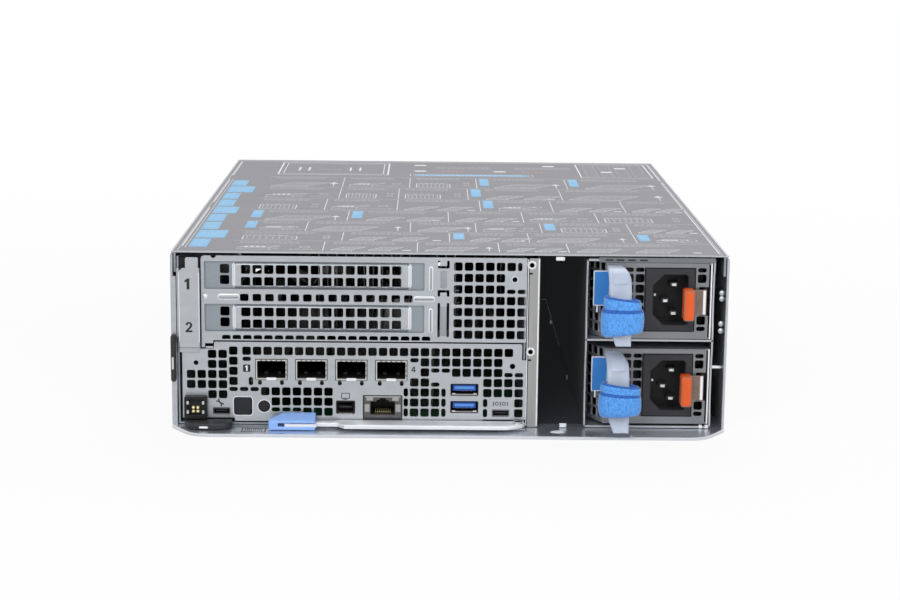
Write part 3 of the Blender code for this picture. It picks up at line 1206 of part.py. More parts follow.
def small_socket(name, places, length, tongue, drop, proud, carrier):
    """A socket on the board: one body behind the panel, and a shell and tongue for each mouth."""
    left, low, width, height, wall = places[0]
    high = places[-1][1] + height + wall
    base = BOARD_TOP + FIT_GAP
    mouths = [rect(x, x + w, z, z + h) for x, z, w, h, _ in places]
    outer = rect(left - wall, left + width + wall, base, high)
    back = length - wall
    solids = [prism(outer, along_y, BEHIND_PANEL, back, mouths),
              prism(outer, along_y, back - JOIN_OVERLAP, length)]
    for (x, z, w, h, _), mouth in zip(places, mouths):
        shell = rect(x - wall, x + w + wall, z - wall, z + h + wall)
        solids.append(prism(shell, along_y, -proud, BEHIND_PANEL + JOIN_OVERLAP, [mouth]))
        side = (w - w * TONGUE_SHARE) / 2
        top = z + h - drop
        solids.append(block((x + side, wall, top - tongue), (x + w - side, back + wall / 2, top)))
    add(name, combine(solids), "bright_steel", carrier)


def sockets(sled):
    """The stacked serial-bus jack, the display jack and the two service jacks."""
    bus_low, bus_high, display, service, serial = socket_places()
    bus = [bus_low, bus_high]
    small_socket("bus_jack", bus, BUS_LENGTH, BUS_TONGUE_SHEET, BUS_TONGUE_DROP, BUS_PROUD, sled)
    for name, place in (("display_jack", display), ("service_jack", service), ("serial_jack", serial)):
        drop = (place[3] - SMALL_TONGUE) / 2
        small_socket(name, [place], SMALL_JACK_LENGTH, SMALL_TONGUE, drop, BUS_PROUD, sled)


def bezel_connector(sled):
    """Black connector block for a front bezel, with four contact pins."""
    left, low = IO_LEFT + BLOCK_INSET, IO_PANEL_BOTTOM
    right, high = left + BLOCK_WIDTH, low + BLOCK_HEIGHT
    front = -FIT_GAP - BLOCK_PROUD
    middle_x, middle_z = (left + right) / 2, (low + high) / 2
    half = BLOCK_RECESS / 2
    face = rect(middle_x - half, middle_x + half, middle_z - half, middle_z + half)
    neck = grown(middle_x - half, middle_x + half, middle_z - half, middle_z + half, -FIT_GAP)
    outer = rounded(left, right, low, high, BLOCK_RECESS_DEPTH / 2, 2)
    solids = [prism(outer, along_y, front, front + BLOCK_RECESS_DEPTH, [face]),
              prism(outer, along_y, front + BLOCK_RECESS_DEPTH - JOIN_OVERLAP, -FIT_GAP),
              prism(neck, along_y, -FIT_GAP - JOIN_OVERLAP, BLOCK_DEPTH - BLOCK_PROUD)]
    for side_x in (-1, 1):
        for side_z in (-1, 1):
            x = middle_x + side_x * BLOCK_PIN_STEP / 2
            z = middle_z + side_z * BLOCK_PIN_STEP / 2
            solids.append(prism(disc(x, z, BLOCK_PIN_RADIUS, 8), along_y, front + BLOCK_RECESS_DEPTH / 2,
                                front + BLOCK_RECESS_DEPTH))
    add("bezel_connector", combine(solids), "black", sled)


def buttons(sled):
    """Power button and round identification button, each held behind the panel by a flange."""
    low = IO_PANEL_BOTTOM + BUTTON_RISE
    left = IO_LEFT + POWER_BUTTON_INSET
    middle_z = low + POWER_BUTTON / 2
    cap = rounded(left, left + POWER_BUTTON, low, low + POWER_BUTTON, POWER_BUTTON_CORNER)
    rim = grown(left, left + POWER_BUTTON, low, low + POWER_BUTTON, BUTTON_FLANGE)
    round_x = IO_LEFT + ID_BUTTON_INSET
    shapes = (("power_button", cap, rim, left + POWER_BUTTON / 2),
              ("id_button", disc(round_x, middle_z, ID_BUTTON_RADIUS),
               disc(round_x, middle_z, ID_BUTTON_RADIUS + BUTTON_FLANGE), round_x))
    for name, outline, flange, x in shapes:
        solids = [prism(outline, along_y, -BUTTON_PROUD, BUTTON_DEPTH),
                  prism(flange, along_y, BEHIND_PANEL, BEHIND_PANEL + BUTTON_FLANGE_SHEET)]
        add(name, combine(solids), "charcoal", body(name, (x, 0, middle_z), sled))


def fan_frame(number, x, carrier):
    """Square fan housing with a bored middle, three struts and a spindle."""
    z, half = FAN_CENTRE, FAN_SIZE / 2
    front, back = FAN_SETBACK, FAN_SETBACK + FAN_DEPTH
    outer = rounded(x - half, x + half, z - half, z + half, FAN_STRUT, 2)
    spindle = disc(x, z, FAN_SPINDLE_RADIUS)
    solids = [prism(outer, along_y, front, back, [disc(x, z, FAN_BORE_RADIUS, FINE_SIDES)]),
              prism(disc(x, z, FAN_HUB_RADIUS), along_y, back - FAN_STRUT_DEPTH, back - JOIN_OVERLAP),
              prism(spindle, along_y, front + 2 * FAN_ROTOR_INSET, back - FAN_STRUT_DEPTH / 2)]
    reach = FAN_BORE_RADIUS + FAN_STRUT / 4
    for arm in range(3):
        angle = math.radians(90 + 120 * arm)
        along, across = (math.cos(angle), math.sin(angle)), (-math.sin(angle), math.cos(angle))
        inner, wide = FAN_HUB_RADIUS / 2, FAN_STRUT / 2
        strut = [(x + along[0] * r + across[0] * w, z + along[1] * r + across[1] * w)
                 for r, w in ((inner, -wide), (reach, -wide), (reach, wide), (inner, wide))]
        solids.append(prism(strut, along_y, back - FAN_STRUT_DEPTH + JOIN_OVERLAP, back - 2 * JOIN_OVERLAP))
    add(f"fan_frame_{number}", combine(solids), "black", carrier)


def fan_rotor(number, x, carrier):
    """Hub and twisted blades on the fan's spindle."""
    z = FAN_CENTRE
    front, back = FAN_SETBACK + FAN_ROTOR_INSET, FAN_SETBACK + FAN_DEPTH - FAN_STRUT_DEPTH - FIT_GAP
    tip = FAN_BORE_RADIUS - FAN_TIP_GAP
    section = []
    radii = (FAN_HUB_RADIUS, tip, tip, tip, FAN_HUB_RADIUS, FAN_HUB_RADIUS)
    for blade in range(FAN_BLADES):
        middle = 360 / FAN_BLADES * blade
        for radius, bearing in zip(radii, BLADE_BEARINGS):
            section.append((radius, math.radians(middle + bearing)))
    mesh = bmesh.new()
    loops = []
    for layer in range(FAN_LAYERS + 1):
        share = layer / FAN_LAYERS
        twist = math.radians(FAN_TWIST) * share
        y = front + (back - front) * share
        ring = [(x + r * math.cos(a + twist), y, z + r * math.sin(a + twist)) for r, a in section]
        loops.append([mesh.verts.new(point) for point in ring])
    bore_points = disc(x, z, FAN_SPINDLE_RADIUS + FAN_HUB_GAP)
    bores = [[mesh.verts.new((u, y, v)) for u, v in bore_points] for y in (front, back)]
    for near, far in zip(loops, loops[1:]):
        for i in range(len(near)):
            j = (i + 1) % len(near)
            mesh.faces.new((near[i], near[j], far[j]))
            mesh.faces.new((near[i], far[j], far[i]))
    for i in range(len(bore_points)):
        j = (i + 1) % len(bore_points)
        mesh.faces.new((bores[0][i], bores[1][i], bores[1][j], bores[0][j]))
    for loop, bore in ((loops[0], bores[0]), (loops[-1], bores[1])):
        corners = loop + bore
        flat = [[Vector((v.co.x * FILL_SCALE, v.co.z * FILL_SCALE, 0)) for v in ring] for ring in (loop, bore)]
        for triangle in tessellate_polygon(flat):
            mesh.faces.new([corners[i] for i in triangle])
    bmesh.ops.recalc_face_normals(mesh, faces=mesh.faces)
    data = bpy.data.meshes.new("rotor")
    mesh.to_mesh(data)
    mesh.free()
    add(f"fan_rotor_{number}", data, "charcoal", body(f"fan_rotor_{number}", (x, front, z), carrier))


def psu_mitre():
    """Direction and length of the face's slanted corner, and the offset at its bend."""
    length = math.hypot(PSU_CORNER_WIDTH, PSU_CORNER_DEPTH)
    along = Vector((-PSU_CORNER_WIDTH / length, PSU_CORNER_DEPTH / length))
    inward = Vector((along.y, -along.x))
    front = Vector((0, 1))
    bend = (front + inward) / (1 + front.dot(inward))
    return length, along, inward, bend


def psu_face(number, carrier):
    """Perforated face, bent back at its left corner and cut out for the inlet and the latch."""
    length, along, inward, bend = psu_mitre()
    low, high = psu_floor(number), psu_floor(number) + PSU_HEIGHT
    corner, right = PSU_LEFT + PSU_CORNER_WIDTH, PSU_RIGHT

    def place(u, v, w):
        if abs(u - corner) < JOIN_OVERLAP / 2:
            return (corner + bend.x * w, bend.y * w, v)
        if u > corner:
            return (u, w, v)
        distance = corner - u
        return (corner + along.x * distance + inward.x * w, along.y * distance + inward.y * w, v)

    top = high - PSU_GRID_DROP
    holes = perforation(PSU_LEFT_MAP, PSU_LEFT + PSU_GRID_INSET, top, PSU_GRID_STEP, PSU_GRID_STEP)
    holes += perforation(PSU_STRIP_MAP, PSU_LEFT + PSU_STRIP_INSET, top, PSU_GRID_STEP, PSU_GRID_STEP)
    left, bottom = inlet_place(number)
    holes.append(grown(left, left + INLET_WIDTH, bottom, bottom + INLET_HEIGHT))
    middle = (low + high) / 2
    half = PSU_LATCH_HEIGHT / 2 + LATCH_NOTCH_MARGIN
    notch = PSU_RIGHT - LATCH_NOTCH_INSET
    holes.append(rect(notch, notch + LATCH_NOTCH_WIDTH, middle - half, middle + half))
    start = corner - length + PSU_CORNER_HOLE_INSET
    slanted = perforation(PSU_CORNER_MAP, start, top, PSU_GRID_STEP, PSU_GRID_STEP)
    regions = [(rect(corner, right, low, high), holes), (rect(corner - length, corner, low, high), slanted)]
    add(f"psu_{number}_face", sheet_mesh(regions, PSU_FACE_SHEET, place), "zinc", carrier)


def psu_case(number, carrier):
    """Sheet case of a supply, open at the front, with the post that its latch turns on."""
    _, along, _, bend = psu_mitre()
    low, high = psu_floor(number), psu_floor(number) + PSU_HEIGHT
    front = PSU_FACE_SHEET + FIT_GAP
    back = front + PSU_LENGTH
    corner_x = PSU_LEFT + PSU_CORNER_WIDTH + bend.x * front
    corner_y = front + (corner_x - PSU_LEFT) / -along.x * along.y
    plan = [(corner_x, front), (PSU_RIGHT, front), (PSU_RIGHT, back), (PSU_LEFT, back), (PSU_LEFT, corner_y)]
    hollow = block((PSU_LEFT + PSU_SHEET, -CUT_OVERRUN, low + PSU_SHEET),
                   (PSU_RIGHT - PSU_SHEET, back - PSU_SHEET, high - PSU_SHEET))
    middle = (low + high) / 2
    half = PSU_LATCH_HEIGHT / 2 + LATCH_NOTCH_MARGIN
    window_front = LATCH_TOOTH_SETBACK - CUT_OVERRUN
    window_back = LATCH_TOOTH_SETBACK + LATCH_TOOTH_LENGTH + CUT_OVERRUN
    window = block((PSU_RIGHT - PSU_SHEET - CUT_OVERRUN, window_front, middle - half),
                   (PSU_RIGHT + CUT_OVERRUN, window_back, middle + half))
    shell = combine([prism(plan, along_z, low, high)], [hollow, window])
    pivot = latch_pivot(number)
    round_post = disc(pivot.x, pivot.y, LATCH_POST_RADIUS, 8)
    post = prism(round_post, along_z, low + PSU_SHEET / 2, high - PSU_SHEET / 2)
    add(f"psu_{number}_case", combine([shell, post]), "zinc", carrier)


def inlet_place(number):
    """Left edge and underside of a supply's mains inlet."""
    return PSU_LEFT + INLET_INSET, psu_floor(number) + INLET_RISE


def mains_inlet(number, carrier):
    """Turned mains inlet with a chamfered mouth and three blades."""
    left, low = inlet_place(number)
    middle = low + INLET_HEIGHT / 2
    outer = rect(left, left + INLET_WIDTH, low, low + INLET_HEIGHT)
    mouth_left = left + INLET_MOUTH_INSET
    mouth_right = mouth_left + INLET_MOUTH_WIDTH
    bottom, top = middle - INLET_MOUTH_HEIGHT / 2, middle + INLET_MOUTH_HEIGHT / 2
    cut, nick = INLET_CHAMFER, INLET_NOTCH
    mouth = [(mouth_left + cut, bottom), (mouth_right - nick, bottom), (mouth_right, bottom + nick),
             (mouth_right, top - nick), (mouth_right - nick, top), (mouth_left + cut, top),
             (mouth_left, top - cut), (mouth_left, bottom + cut)]
    floor = INLET_MOUTH_DEPTH - INLET_PROUD
    solids = [prism(outer, along_y, -INLET_PROUD, floor, [mouth]),
              prism(outer, along_y, floor - JOIN_OVERLAP, INLET_DEPTH)]
    pin_x = mouth_left + INLET_PIN_INSET
    spread = INLET_PIN_SPREAD
    for x, z in ((pin_x, middle + spread), (pin_x - INLET_PIN_STEP, middle), (pin_x, middle - spread)):
        solids.append(block((x, floor - INLET_PIN_LENGTH, z - INLET_PIN_SHEET / 2),
                            (x + INLET_PIN_WIDTH, floor + JOIN_OVERLAP, z + INLET_PIN_SHEET / 2)))
    add(f"psu_{number}_inlet", combine(solids), "charcoal", carrier)


def latch_pivot(number):
    """Foot of the post that a supply's latch turns on."""
    return Vector((PSU_RIGHT - PSU_LATCH_INSET + PSU_LATCH_SHEET / 2, PSU_LATCH_LENGTH, psu_floor(number)))


def psu_latch(number, carrier):
    """Spring-steel latch arm with its tooth and orange thumb tab."""
    middle = psu_floor(number) + PSU_HEIGHT / 2
    low, high = middle - PSU_LATCH_HEIGHT / 2, middle + PSU_LATCH_HEIGHT / 2
    pivot = latch_pivot(number)
    arm_right = PSU_RIGHT - PSU_LATCH_INSET + PSU_LATCH_SHEET
    arm_left = arm_right - PSU_LATCH_SHEET
    front = -PSU_LATCH_PROUD
    thumb_left = PSU_LEFT + THUMB_INSET
    thumb_right = thumb_left + THUMB_WIDTH
    tooth = PSU_RIGHT + LATCH_TOOTH_PROUD
    start = LATCH_TOOTH_SETBACK
    arm_back, arm_start = front + PSU_LATCH_SHEET, thumb_right - JOIN_OVERLAP
    arm = [(arm_start, front), (arm_right, front), (arm_right, start), (tooth, start + JOIN_OVERLAP),
           (tooth, start + LATCH_TOOTH_LENGTH / 3), (arm_right, start + LATCH_TOOTH_LENGTH),
           (arm_right, pivot.y), (arm_left, pivot.y), (arm_left, arm_back), (arm_start, arm_back)]
    thumb_low = middle - THUMB_DROP - THUMB_HEIGHT / 2
    thumb = rounded(thumb_left, thumb_right, thumb_low, thumb_low + THUMB_HEIGHT, THUMB_CORNER, 2)
    solids = [prism(arm, along_z, low, high),
              prism(disc(pivot.x, pivot.y, LATCH_BARREL_RADIUS), along_z, low, high - JOIN_OVERLAP),
              prism(thumb, along_y, arm_back - THUMB_DEPTH, arm_back - JOIN_OVERLAP)]
    bore = prism(disc(pivot.x, pivot.y, LATCH_BARREL_BORE), along_z, low - CUT_OVERRUN, high + CUT_OVERRUN)
    add(f"psu_{number}_latch", combine(solids, [bore]), "orange", body(f"psu_{number}_latch", pivot, carrier))


def handle_line(drop_share):
    """Depth of the handle's middle line at a share of its drop."""
    for (near, high, _, _), (far, low, _, _) in zip(HANDLE_SHARES, HANDLE_SHARES[1:]):
        if high <= drop_share <= low:
            reach = near + (far - near) * (drop_share - high) / (low - high)
            return -FIT_GAP - reach * HANDLE_REACH
    return -FIT_GAP - HANDLE_REACH


def psu_handle(number, carrier):
    """Translucent pull handle that stands out from the face and hangs down."""
    middle = PSU_LEFT + HANDLE_INSET + HANDLE_WIDTH / 2
    top = psu_floor(number) + PSU_HEIGHT - HANDLE_TOP_DROP
    root = -FIT_GAP
    path = [Vector((root - share[0] * HANDLE_REACH, top - share[1] * HANDLE_DROP)) for share in HANDLE_SHARES]
    rings = []
    for index, point in enumerate(path):
        ahead = path[min(index + 1, len(path) - 1)] - path[max(index - 1, 0)]
        if index == 0:
            ahead = Vector((-1, 0))
        normal = Vector((-ahead.y, ahead.x)).normalized() * HANDLE_SHEET / 2
        left = middle - HANDLE_WIDTH * HANDLE_SHARES[index][2] / 2
        right = middle + HANDLE_WIDTH * HANDLE_SHARES[index][3] / 2
        near, far = point + normal, point - normal
        rings.append([(left, near.x, near.y), (right, near.x, near.y), (right, far.x, far.y), (left, far.x, far.y)])
    add(f"psu_{number}_handle", loft(rings), "clear", carrier)


def psu_strap(number, carrier):
    """Hook-and-loop strap wound round the handle."""
    middle = PSU_LEFT + HANDLE_INSET + HANDLE_WIDTH / 2 + STRAP_SHIFT
    low = psu_floor(number) + STRAP_RISE
    top = psu_floor(number) + PSU_HEIGHT - HANDLE_TOP_DROP
    rings = []
    for z, inset in ((low, 0), (low + STRAP_HEIGHT, 0), (low + STRAP_HEIGHT, STRAP_SHEET), (low, STRAP_SHEET)):
        y = handle_line((top - z) / HANDLE_DROP)
        oval = ellipse(middle, y, STRAP_WIDTH - 2 * inset, STRAP_DEPTH - 2 * inset)
        rings.append([(u, v, z) for u, v in oval])
    add(f"psu_{number}_strap", hoop(rings), "strap_blue", carrier)


def power_supply(number, chassis):
    """One slide-out supply with its own moving latch."""
    carrier = body(f"psu_{number}", (PSU_LEFT, 0, psu_floor(number)), chassis)
    psu_case(number, carrier)
    psu_face(number, carrier)
    mains_inlet(number, carrier)
    psu_handle(number, carrier)
    psu_strap(number, carrier)
    psu_latch(number, carrier)


def sled_power_plug(sled):
    """Blind-mate plug at the back of the sled."""
    right = SLED_WALL_RIGHT - SLED_SHEET - FIT_GAP
    low, high = PLUG_BOTTOM, PLUG_BOTTOM + PLUG_HEIGHT
    margin = SOCKET_WALL + FIT_GAP
    shell = block((right - PLUG_WIDTH, SLED_LENGTH - PLUG_DEPTH, low), (right, SLED_LENGTH, high))
    middle = (low + high) / 2
    tongue = block((right - PLUG_WIDTH + margin, SLED_LENGTH - JOIN_OVERLAP, middle - PLUG_TONGUE_SHEET / 2),
                   (right - margin, SLED_LENGTH + PLUG_TONGUE - FIT_GAP, middle + PLUG_TONGUE_SHEET / 2))
    add("sled_power_plug", combine([shell, tongue]), "black", sled)


def build():
    """Make the whole server."""
    clear_scene()
    chassis = body("chassis")
    chassis_tray(chassis)
    top_cover(chassis)
    rear_panel(chassis)
    bay_divider(chassis)
    psu_cage(chassis)
    side_clip(chassis)
    power_board(chassis)
    sled = body("sled", (SLED_LEFT, 0, SLED_FLOOR), chassis)
    sled_tray(sled)
    io_panel(sled)
    card_panel(sled)
    for slot in (1, 2):
        slot_filler(slot, sled)
    slot_latch(sled)
    sled_lever(sled)
    information_tag(sled)
    boards(sled)
    processor_and_memory(sled)
    network_cages(sled)
    network_jack(sled)
    sockets(sled)
    bezel_connector(sled)
    buttons(sled)
    for index in range(FAN_COUNT):
        x = SLED_LEFT + FAN_INSET + index * FAN_STEP
        fan_frame(index + 1, x, sled)
        fan_rotor(index + 1, x, sled)
    sled_power_plug(sled)
    for number in (1, 2):
        power_supply(number, chassis)


build()
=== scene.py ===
"""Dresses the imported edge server: finishes, formed sheet-metal faces, sockets, straps and the printed lid."""
# %% [markdown]
# # An edge server, dressed over its solid model
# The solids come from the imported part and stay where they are. This script gives every one of them
# a finish, and swaps the plain ones that the eye lands on for finer meshes of about the same size.

import math
import random

import bmesh
import bpy
from mathutils import Matrix, Vector
from mathutils.geometry import tessellate_polygon


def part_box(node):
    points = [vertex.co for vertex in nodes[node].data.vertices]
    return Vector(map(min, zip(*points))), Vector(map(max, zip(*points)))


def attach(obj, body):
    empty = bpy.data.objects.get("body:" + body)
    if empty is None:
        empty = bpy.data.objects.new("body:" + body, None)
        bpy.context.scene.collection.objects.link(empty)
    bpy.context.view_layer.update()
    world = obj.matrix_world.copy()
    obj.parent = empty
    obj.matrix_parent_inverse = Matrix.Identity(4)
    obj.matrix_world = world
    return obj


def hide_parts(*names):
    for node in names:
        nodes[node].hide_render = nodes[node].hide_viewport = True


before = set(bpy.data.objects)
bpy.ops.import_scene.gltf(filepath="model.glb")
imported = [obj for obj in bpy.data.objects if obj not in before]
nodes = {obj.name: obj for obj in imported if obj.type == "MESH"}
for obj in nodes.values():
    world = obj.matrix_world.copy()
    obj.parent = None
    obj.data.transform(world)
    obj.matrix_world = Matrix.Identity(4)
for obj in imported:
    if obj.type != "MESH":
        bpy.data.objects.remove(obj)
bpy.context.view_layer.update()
mm = 0.001

# %% [markdown]
# ## The camera
# The photograph looks down a little at the front, from just left of the middle. The place, the
# turns and the focal length come from measured corners of the cover and the front panels.

# %% Camera
FOCAL_PIXELS = 2023.95
PICTURE_WIDTH = 900
SENSOR = 36.0
CAMERA_PLACE = Vector((-10.967, -960.695, 253.680)) * mm
YAW, PITCH, ROLL = 0.01148, 0.19446, 0.01107

forward = Vector((math.sin(YAW) * math.cos(PITCH), math.cos(YAW) * math.cos(PITCH), -math.sin(PITCH)))
level = Vector((math.cos(YAW), -math.sin(YAW), 0))
upright = level.cross(forward)
side = math.cos(ROLL) * level + math.sin(ROLL) * upright
up = math.cos(ROLL) * upright - math.sin(ROLL) * level
turn = Matrix((side, up, -forward)).transposed()
camera_data = bpy.data.cameras.new("camera")
camera_data.sensor_width = SENSOR
camera_data.lens = FOCAL_PIXELS / PICTURE_WIDTH * SENSOR
camera_data.clip_start = 10 * mm
camera = bpy.data.objects.new("camera", camera_data)
camera.matrix_world = Matrix.Translation(CAMERA_PLACE) @ turn.to_4x4()
bpy.context.scene.collection.objects.link(camera)
bpy.context.scene.camera = camera
print("lens:", round(camera_data.lens, 2), "mm")

# %% [markdown]
# ## The studio
# A product picture on white: a bright even surround, one large lamp high in front, and a weaker one
# from the side. Metal and clear plastic mirror the white surround, so it is shown to them as well.

# %% Surround and lamps
scene = bpy.context.scene
scene.view_settings.view_transform = "Standard"
world = bpy.data.worlds.new("surround")
world.use_nodes = True
scene.world = world
tree = world.node_tree
background = tree.nodes["Background"]
SURROUND_LIGHT = 0.5


def tune(node, **values):
    """Sets a node's inputs by their names, in which a _ stands for a space."""
    for name, value in values.items():
        node.inputs[name.replace("_", " ")].default_value = value
    return node


def add(tree, kind, **values):
    """A new shader node with its input values."""
    return tune(tree.nodes.new("ShaderNode" + kind), **values)


def join(tree, *pairs):
    """Links outputs to inputs, pair by pair."""
    for source, target in pairs:
        tree.links.new(source, target)


def seen_directly(tree):
    """One for rays that show the surround itself: from the camera, off metal and through clear plastic."""
    paths = add(tree, "LightPath")
    found = paths.outputs["Is Camera Ray"]
    for kind in ("Is Glossy Ray", "Is Transmission Ray"):
        either = add(tree, "Math")
        either.operation = "MAXIMUM"
        join(tree, (found, either.inputs[0]), (paths.outputs[kind], either.inputs[1]))
        found = either.outputs[0]
    return found


level_of = add(tree, "MapRange", To_Min=SURROUND_LIGHT, To_Max=1.0)
join(tree, (seen_directly(tree), level_of.inputs["Value"]), (level_of.outputs[0], background.inputs["Strength"]))
tune(background, Color=(1, 1, 1, 1))


def lamp(name, place, aim, size, power):
    """A square soft lamp that points at a place."""
    data = bpy.data.lights.new(name, "AREA")
    data.size = size
    data.energy = power
    lamp_object = bpy.data.objects.new(name, data)
    lamp_object.location = place
    lamp_object.rotation_euler = (Vector(aim) - Vector(place)).to_track_quat("-Z", "Y").to_euler()
    scene.collection.objects.link(lamp_object)


lamp("key", (-0.55, -1.5, 1.35), (0, 0, 0.03), 1.0, 17)
lamp("fill", (0.9, -1.3, 0.7), (0, 0, 0.03), 0.9, 6)
lamp("back", (0.2, 1.2, 1.3), (0, 0.15, 0.05), 1.2, 8)

# %% Floor
FLOOR_SIZE = 6.0
floor_mesh = bpy.data.meshes.new("floor")
half = FLOOR_SIZE / 2
floor_mesh.from_pydata([(-half, -half, 0), (half, -half, 0), (half, half, 0), (-half, half, 0)], [], [(0, 1, 2, 3)])
floor = bpy.data.objects.new("floor", floor_mesh)
floor.location.z = -0.0002
scene.collection.objects.link(floor)
floor_paint = bpy.data.materials.new("floor_paint")
floor_paint.use_nodes = True
tree = floor_paint.node_tree
plain = tree.nodes["Principled BSDF"]
tune(plain, Base_Color=(0.90, 0.90, 0.90, 1), Roughness=0.9)
glow = add(tree, "Emission")
mix = add(tree, "MixShader")
place = add(tree, "TexCoord")
distance = add(tree, "VectorMath")
distance.operation = "LENGTH"
whiter = add(tree, "MapRange", From_Min=0.35, From_Max=1.0, To_Min=0.88, To_Max=1.0)
share = add(tree, "Math")
share.operation = "MULTIPLY"
join(tree, (place.outputs["Object"], distance.inputs[0]), (distance.outputs["Value"], whiter.inputs["Value"]),
     (whiter.outputs[0], share.inputs[1]), (seen_directly(tree), share.inputs[0]),
     (share.outputs[0], mix.inputs[0]), (plain.outputs[0], mix.inputs[1]), (glow.outputs[0], mix.inputs[2]),
     (mix.outputs[0], tree.nodes["Material Output"].inputs["Surface"]))
floor_mesh.materials.append(floor_paint)

# %% [markdown]
# ## Finishes
# Every finish is a small set of nodes: a base colour that drifts a little, a roughness that drifts
# with it, and a fine bump. Colours are written as they look, and turned into the linear values that
# the shader wants.

# %% Finish helpers
ROUGH_DRIFT = 0.06


def linear(red, green, blue):
    """A colour given from 0 to 255, as the shader's linear values."""
    channels = []
    for value in (red, green, blue):
        value /= 255
        channels.append(value / 12.92 if value <= 0.04045 else ((value + 0.055) / 1.055) ** 2.4)
    return (*channels, 1.0)


def finish(name, colour, roughness, metallic=0.0, drift=0.06, drift_scale=60.0, grain=0.08, grain_scale=1500.0,
           stretch=(1, 1, 1), **sockets):
    """A procedural finish; colour is 0 to 255, drift is the share by which it varies."""
    material = bpy.data.materials.new(name)
    material.use_nodes = True
    tree = material.node_tree
    shader = tree.nodes["Principled BSDF"]
    tune(shader, Metallic=metallic, **sockets)
    place = add(tree, "TexCoord")
    scale = add(tree, "Mapping", Scale=stretch)
    cloud = add(tree, "TexNoise", Scale=drift_scale, Detail=5)
    tint = add(tree, "ValToRGB")
    base = linear(*colour)
    for stop, position, share in zip(tint.color_ramp.elements, (0.3, 0.7), (1 - drift, 1 + drift)):
        stop.position = position
        stop.color = (*[min(c * share, 1) for c in base[:3]], 1)
    rough = add(tree, "MapRange", To_Min=max(roughness - ROUGH_DRIFT, 0.02), To_Max=min(roughness + ROUGH_DRIFT, 1))
    speck = add(tree, "TexNoise", Scale=grain_scale, Detail=2)
    bump = add(tree, "Bump", Strength=grain, Distance=0.0001)
    join(tree, (place.outputs["Object"], scale.inputs["Vector"]), (scale.outputs[0], cloud.inputs["Vector"]),
         (cloud.outputs["Fac"], tint.inputs["Fac"]), (tint.outputs["Color"], shader.inputs["Base Color"]),
         (cloud.outputs["Fac"], rough.inputs["Value"]), (rough.outputs[0], shader.inputs["Roughness"]),
         (scale.outputs[0], speck.inputs["Vector"]), (speck.outputs["Fac"], bump.inputs["Height"]),
         (bump.outputs[0], shader.inputs["Normal"]))
    return material


# %% The finishes of this server
ZINC = finish("zinc_sheet", (178, 182, 187), 0.38, 0.8, drift=0.05, drift_scale=90, stretch=(1, 1, 3))
# A darker, duller copy of the zinc for inner faces such as the tray floor, the lid's side flanges and the supply
# cases: painted shade.
ZINC_DULL_SHADE = finish("zinc_sheet_dull_painted_shade", (150, 154, 162), 0.46, 0.75, drift=0.08, drift_scale=70)
# A lighter copy of the zinc for the lip's top: painted reflection of the bright panels above it.
ZINC_LIP_REFLECTION = finish("zinc_sheet_painted_reflection", (206, 210, 217), 0.30, 0.85, drift=0.06, drift_scale=50)
# The brackets' base sheet, darker than the panel: painted shade where it sits back behind the windows.
RECESS_SHADE = finish("recess_sheet_painted_shade", (142, 150, 158), 0.45, 0.7, drift=0.05, drift_scale=90)
# The supply face and its bent corner are one sheet in two tones: the darker front is painted shade, the lighter corner
# painted light.
SUPPLY_FACE_SHADE = finish("supply_sheet_painted_shade", (129, 131, 135), 0.40, 0.8, drift=0.06, drift_scale=80)
SUPPLY_CORNER_LIGHT = finish("supply_corner_sheet_painted_light", (176, 179, 184), 0.44, 0.7, drift=0.10, drift_scale=60)
BRUSHED = finish("divider_sheet", (160, 161, 160), 0.34, 0.85, drift=0.07, drift_scale=260, stretch=(1, 1, 0.06))
# Pale satin steel for real parts such as the lever, also laid on slopes, edges and strips as painted highlights.
SATIN_AND_HIGHLIGHT = finish("satin_steel_and_painted_highlight", (232, 234, 237), 0.5, 0.55, drift=0.02, drift_scale=60)
BRIGHT = finish("bright_steel", (224, 226, 230), 0.22, 1.0, drift=0.04, drift_scale=120, stretch=(1, 8, 8))
# A darker zinc for the beads by the tie slots and the upper slopes of the bracket fields: painted shade.
TIE_SHADE = finish("tie_sheet_painted_shade", (150, 156, 160), 0.42, 0.75, drift=0.06)
# A dark steel: on the cage's top flange it is painted shade under the lid; it also rims two small sockets.
DARK_STEEL_AND_SHADE = finish("dark_steel_and_painted_shade", (118, 121, 126), 0.42, 0.8, drift=0.08)
RIBBED = finish("latch_arm_steel", (128, 113, 106), 0.42, 0.8, drift=0.12, drift_scale=300)
CAGE_STEEL = finish("module_cage_steel", (206, 206, 202), 0.30, 0.9, drift=0.08, drift_scale=300)
# Near black for the module cages' inner walls and for what lies behind the panel's foot holes: painted shade.
CAGE_INSIDE_SHADE = finish("module_cage_inside_painted_shade", (30, 27, 24), 0.5, 0.3, drift=0.2, drift_scale=90)
SHIELD = finish("jack_shield", (92, 92, 92), 0.40, 0.8, drift=0.1, drift_scale=160)
LENS = finish("light_pipe", (156, 158, 154), 0.35, drift=0.08, drift_scale=400)
UMBER = finish("jack_inside", (44, 37, 32), 0.55, drift=0.15, drift_scale=160)
BLACK = finish("black_moulding", (18, 18, 20), 0.50, grain=0.2, Specular_IOR_Level=0.3)
CHARCOAL = finish("charcoal_moulding", (44, 44, 48), 0.52, grain=0.25, Specular_IOR_Level=0.35)
GREY_PLASTIC = finish("grey_moulding", (30, 32, 37), 0.50, grain=0.25, Specular_IOR_Level=0.3)
BLUE = finish("latch_blue", (143, 183, 246), 0.38, grain=0.05, drift=0.03)
ORANGE = finish("latch_orange", (222, 86, 12), 0.50, grain=0.06, drift=0.05)
GOLD = finish("contact_gold", (255, 240, 180), 0.30, 0.7, grain=0.02)
BOARD = finish("solder_mask", (24, 66, 40), 0.42, drift=0.25, drift_scale=220)
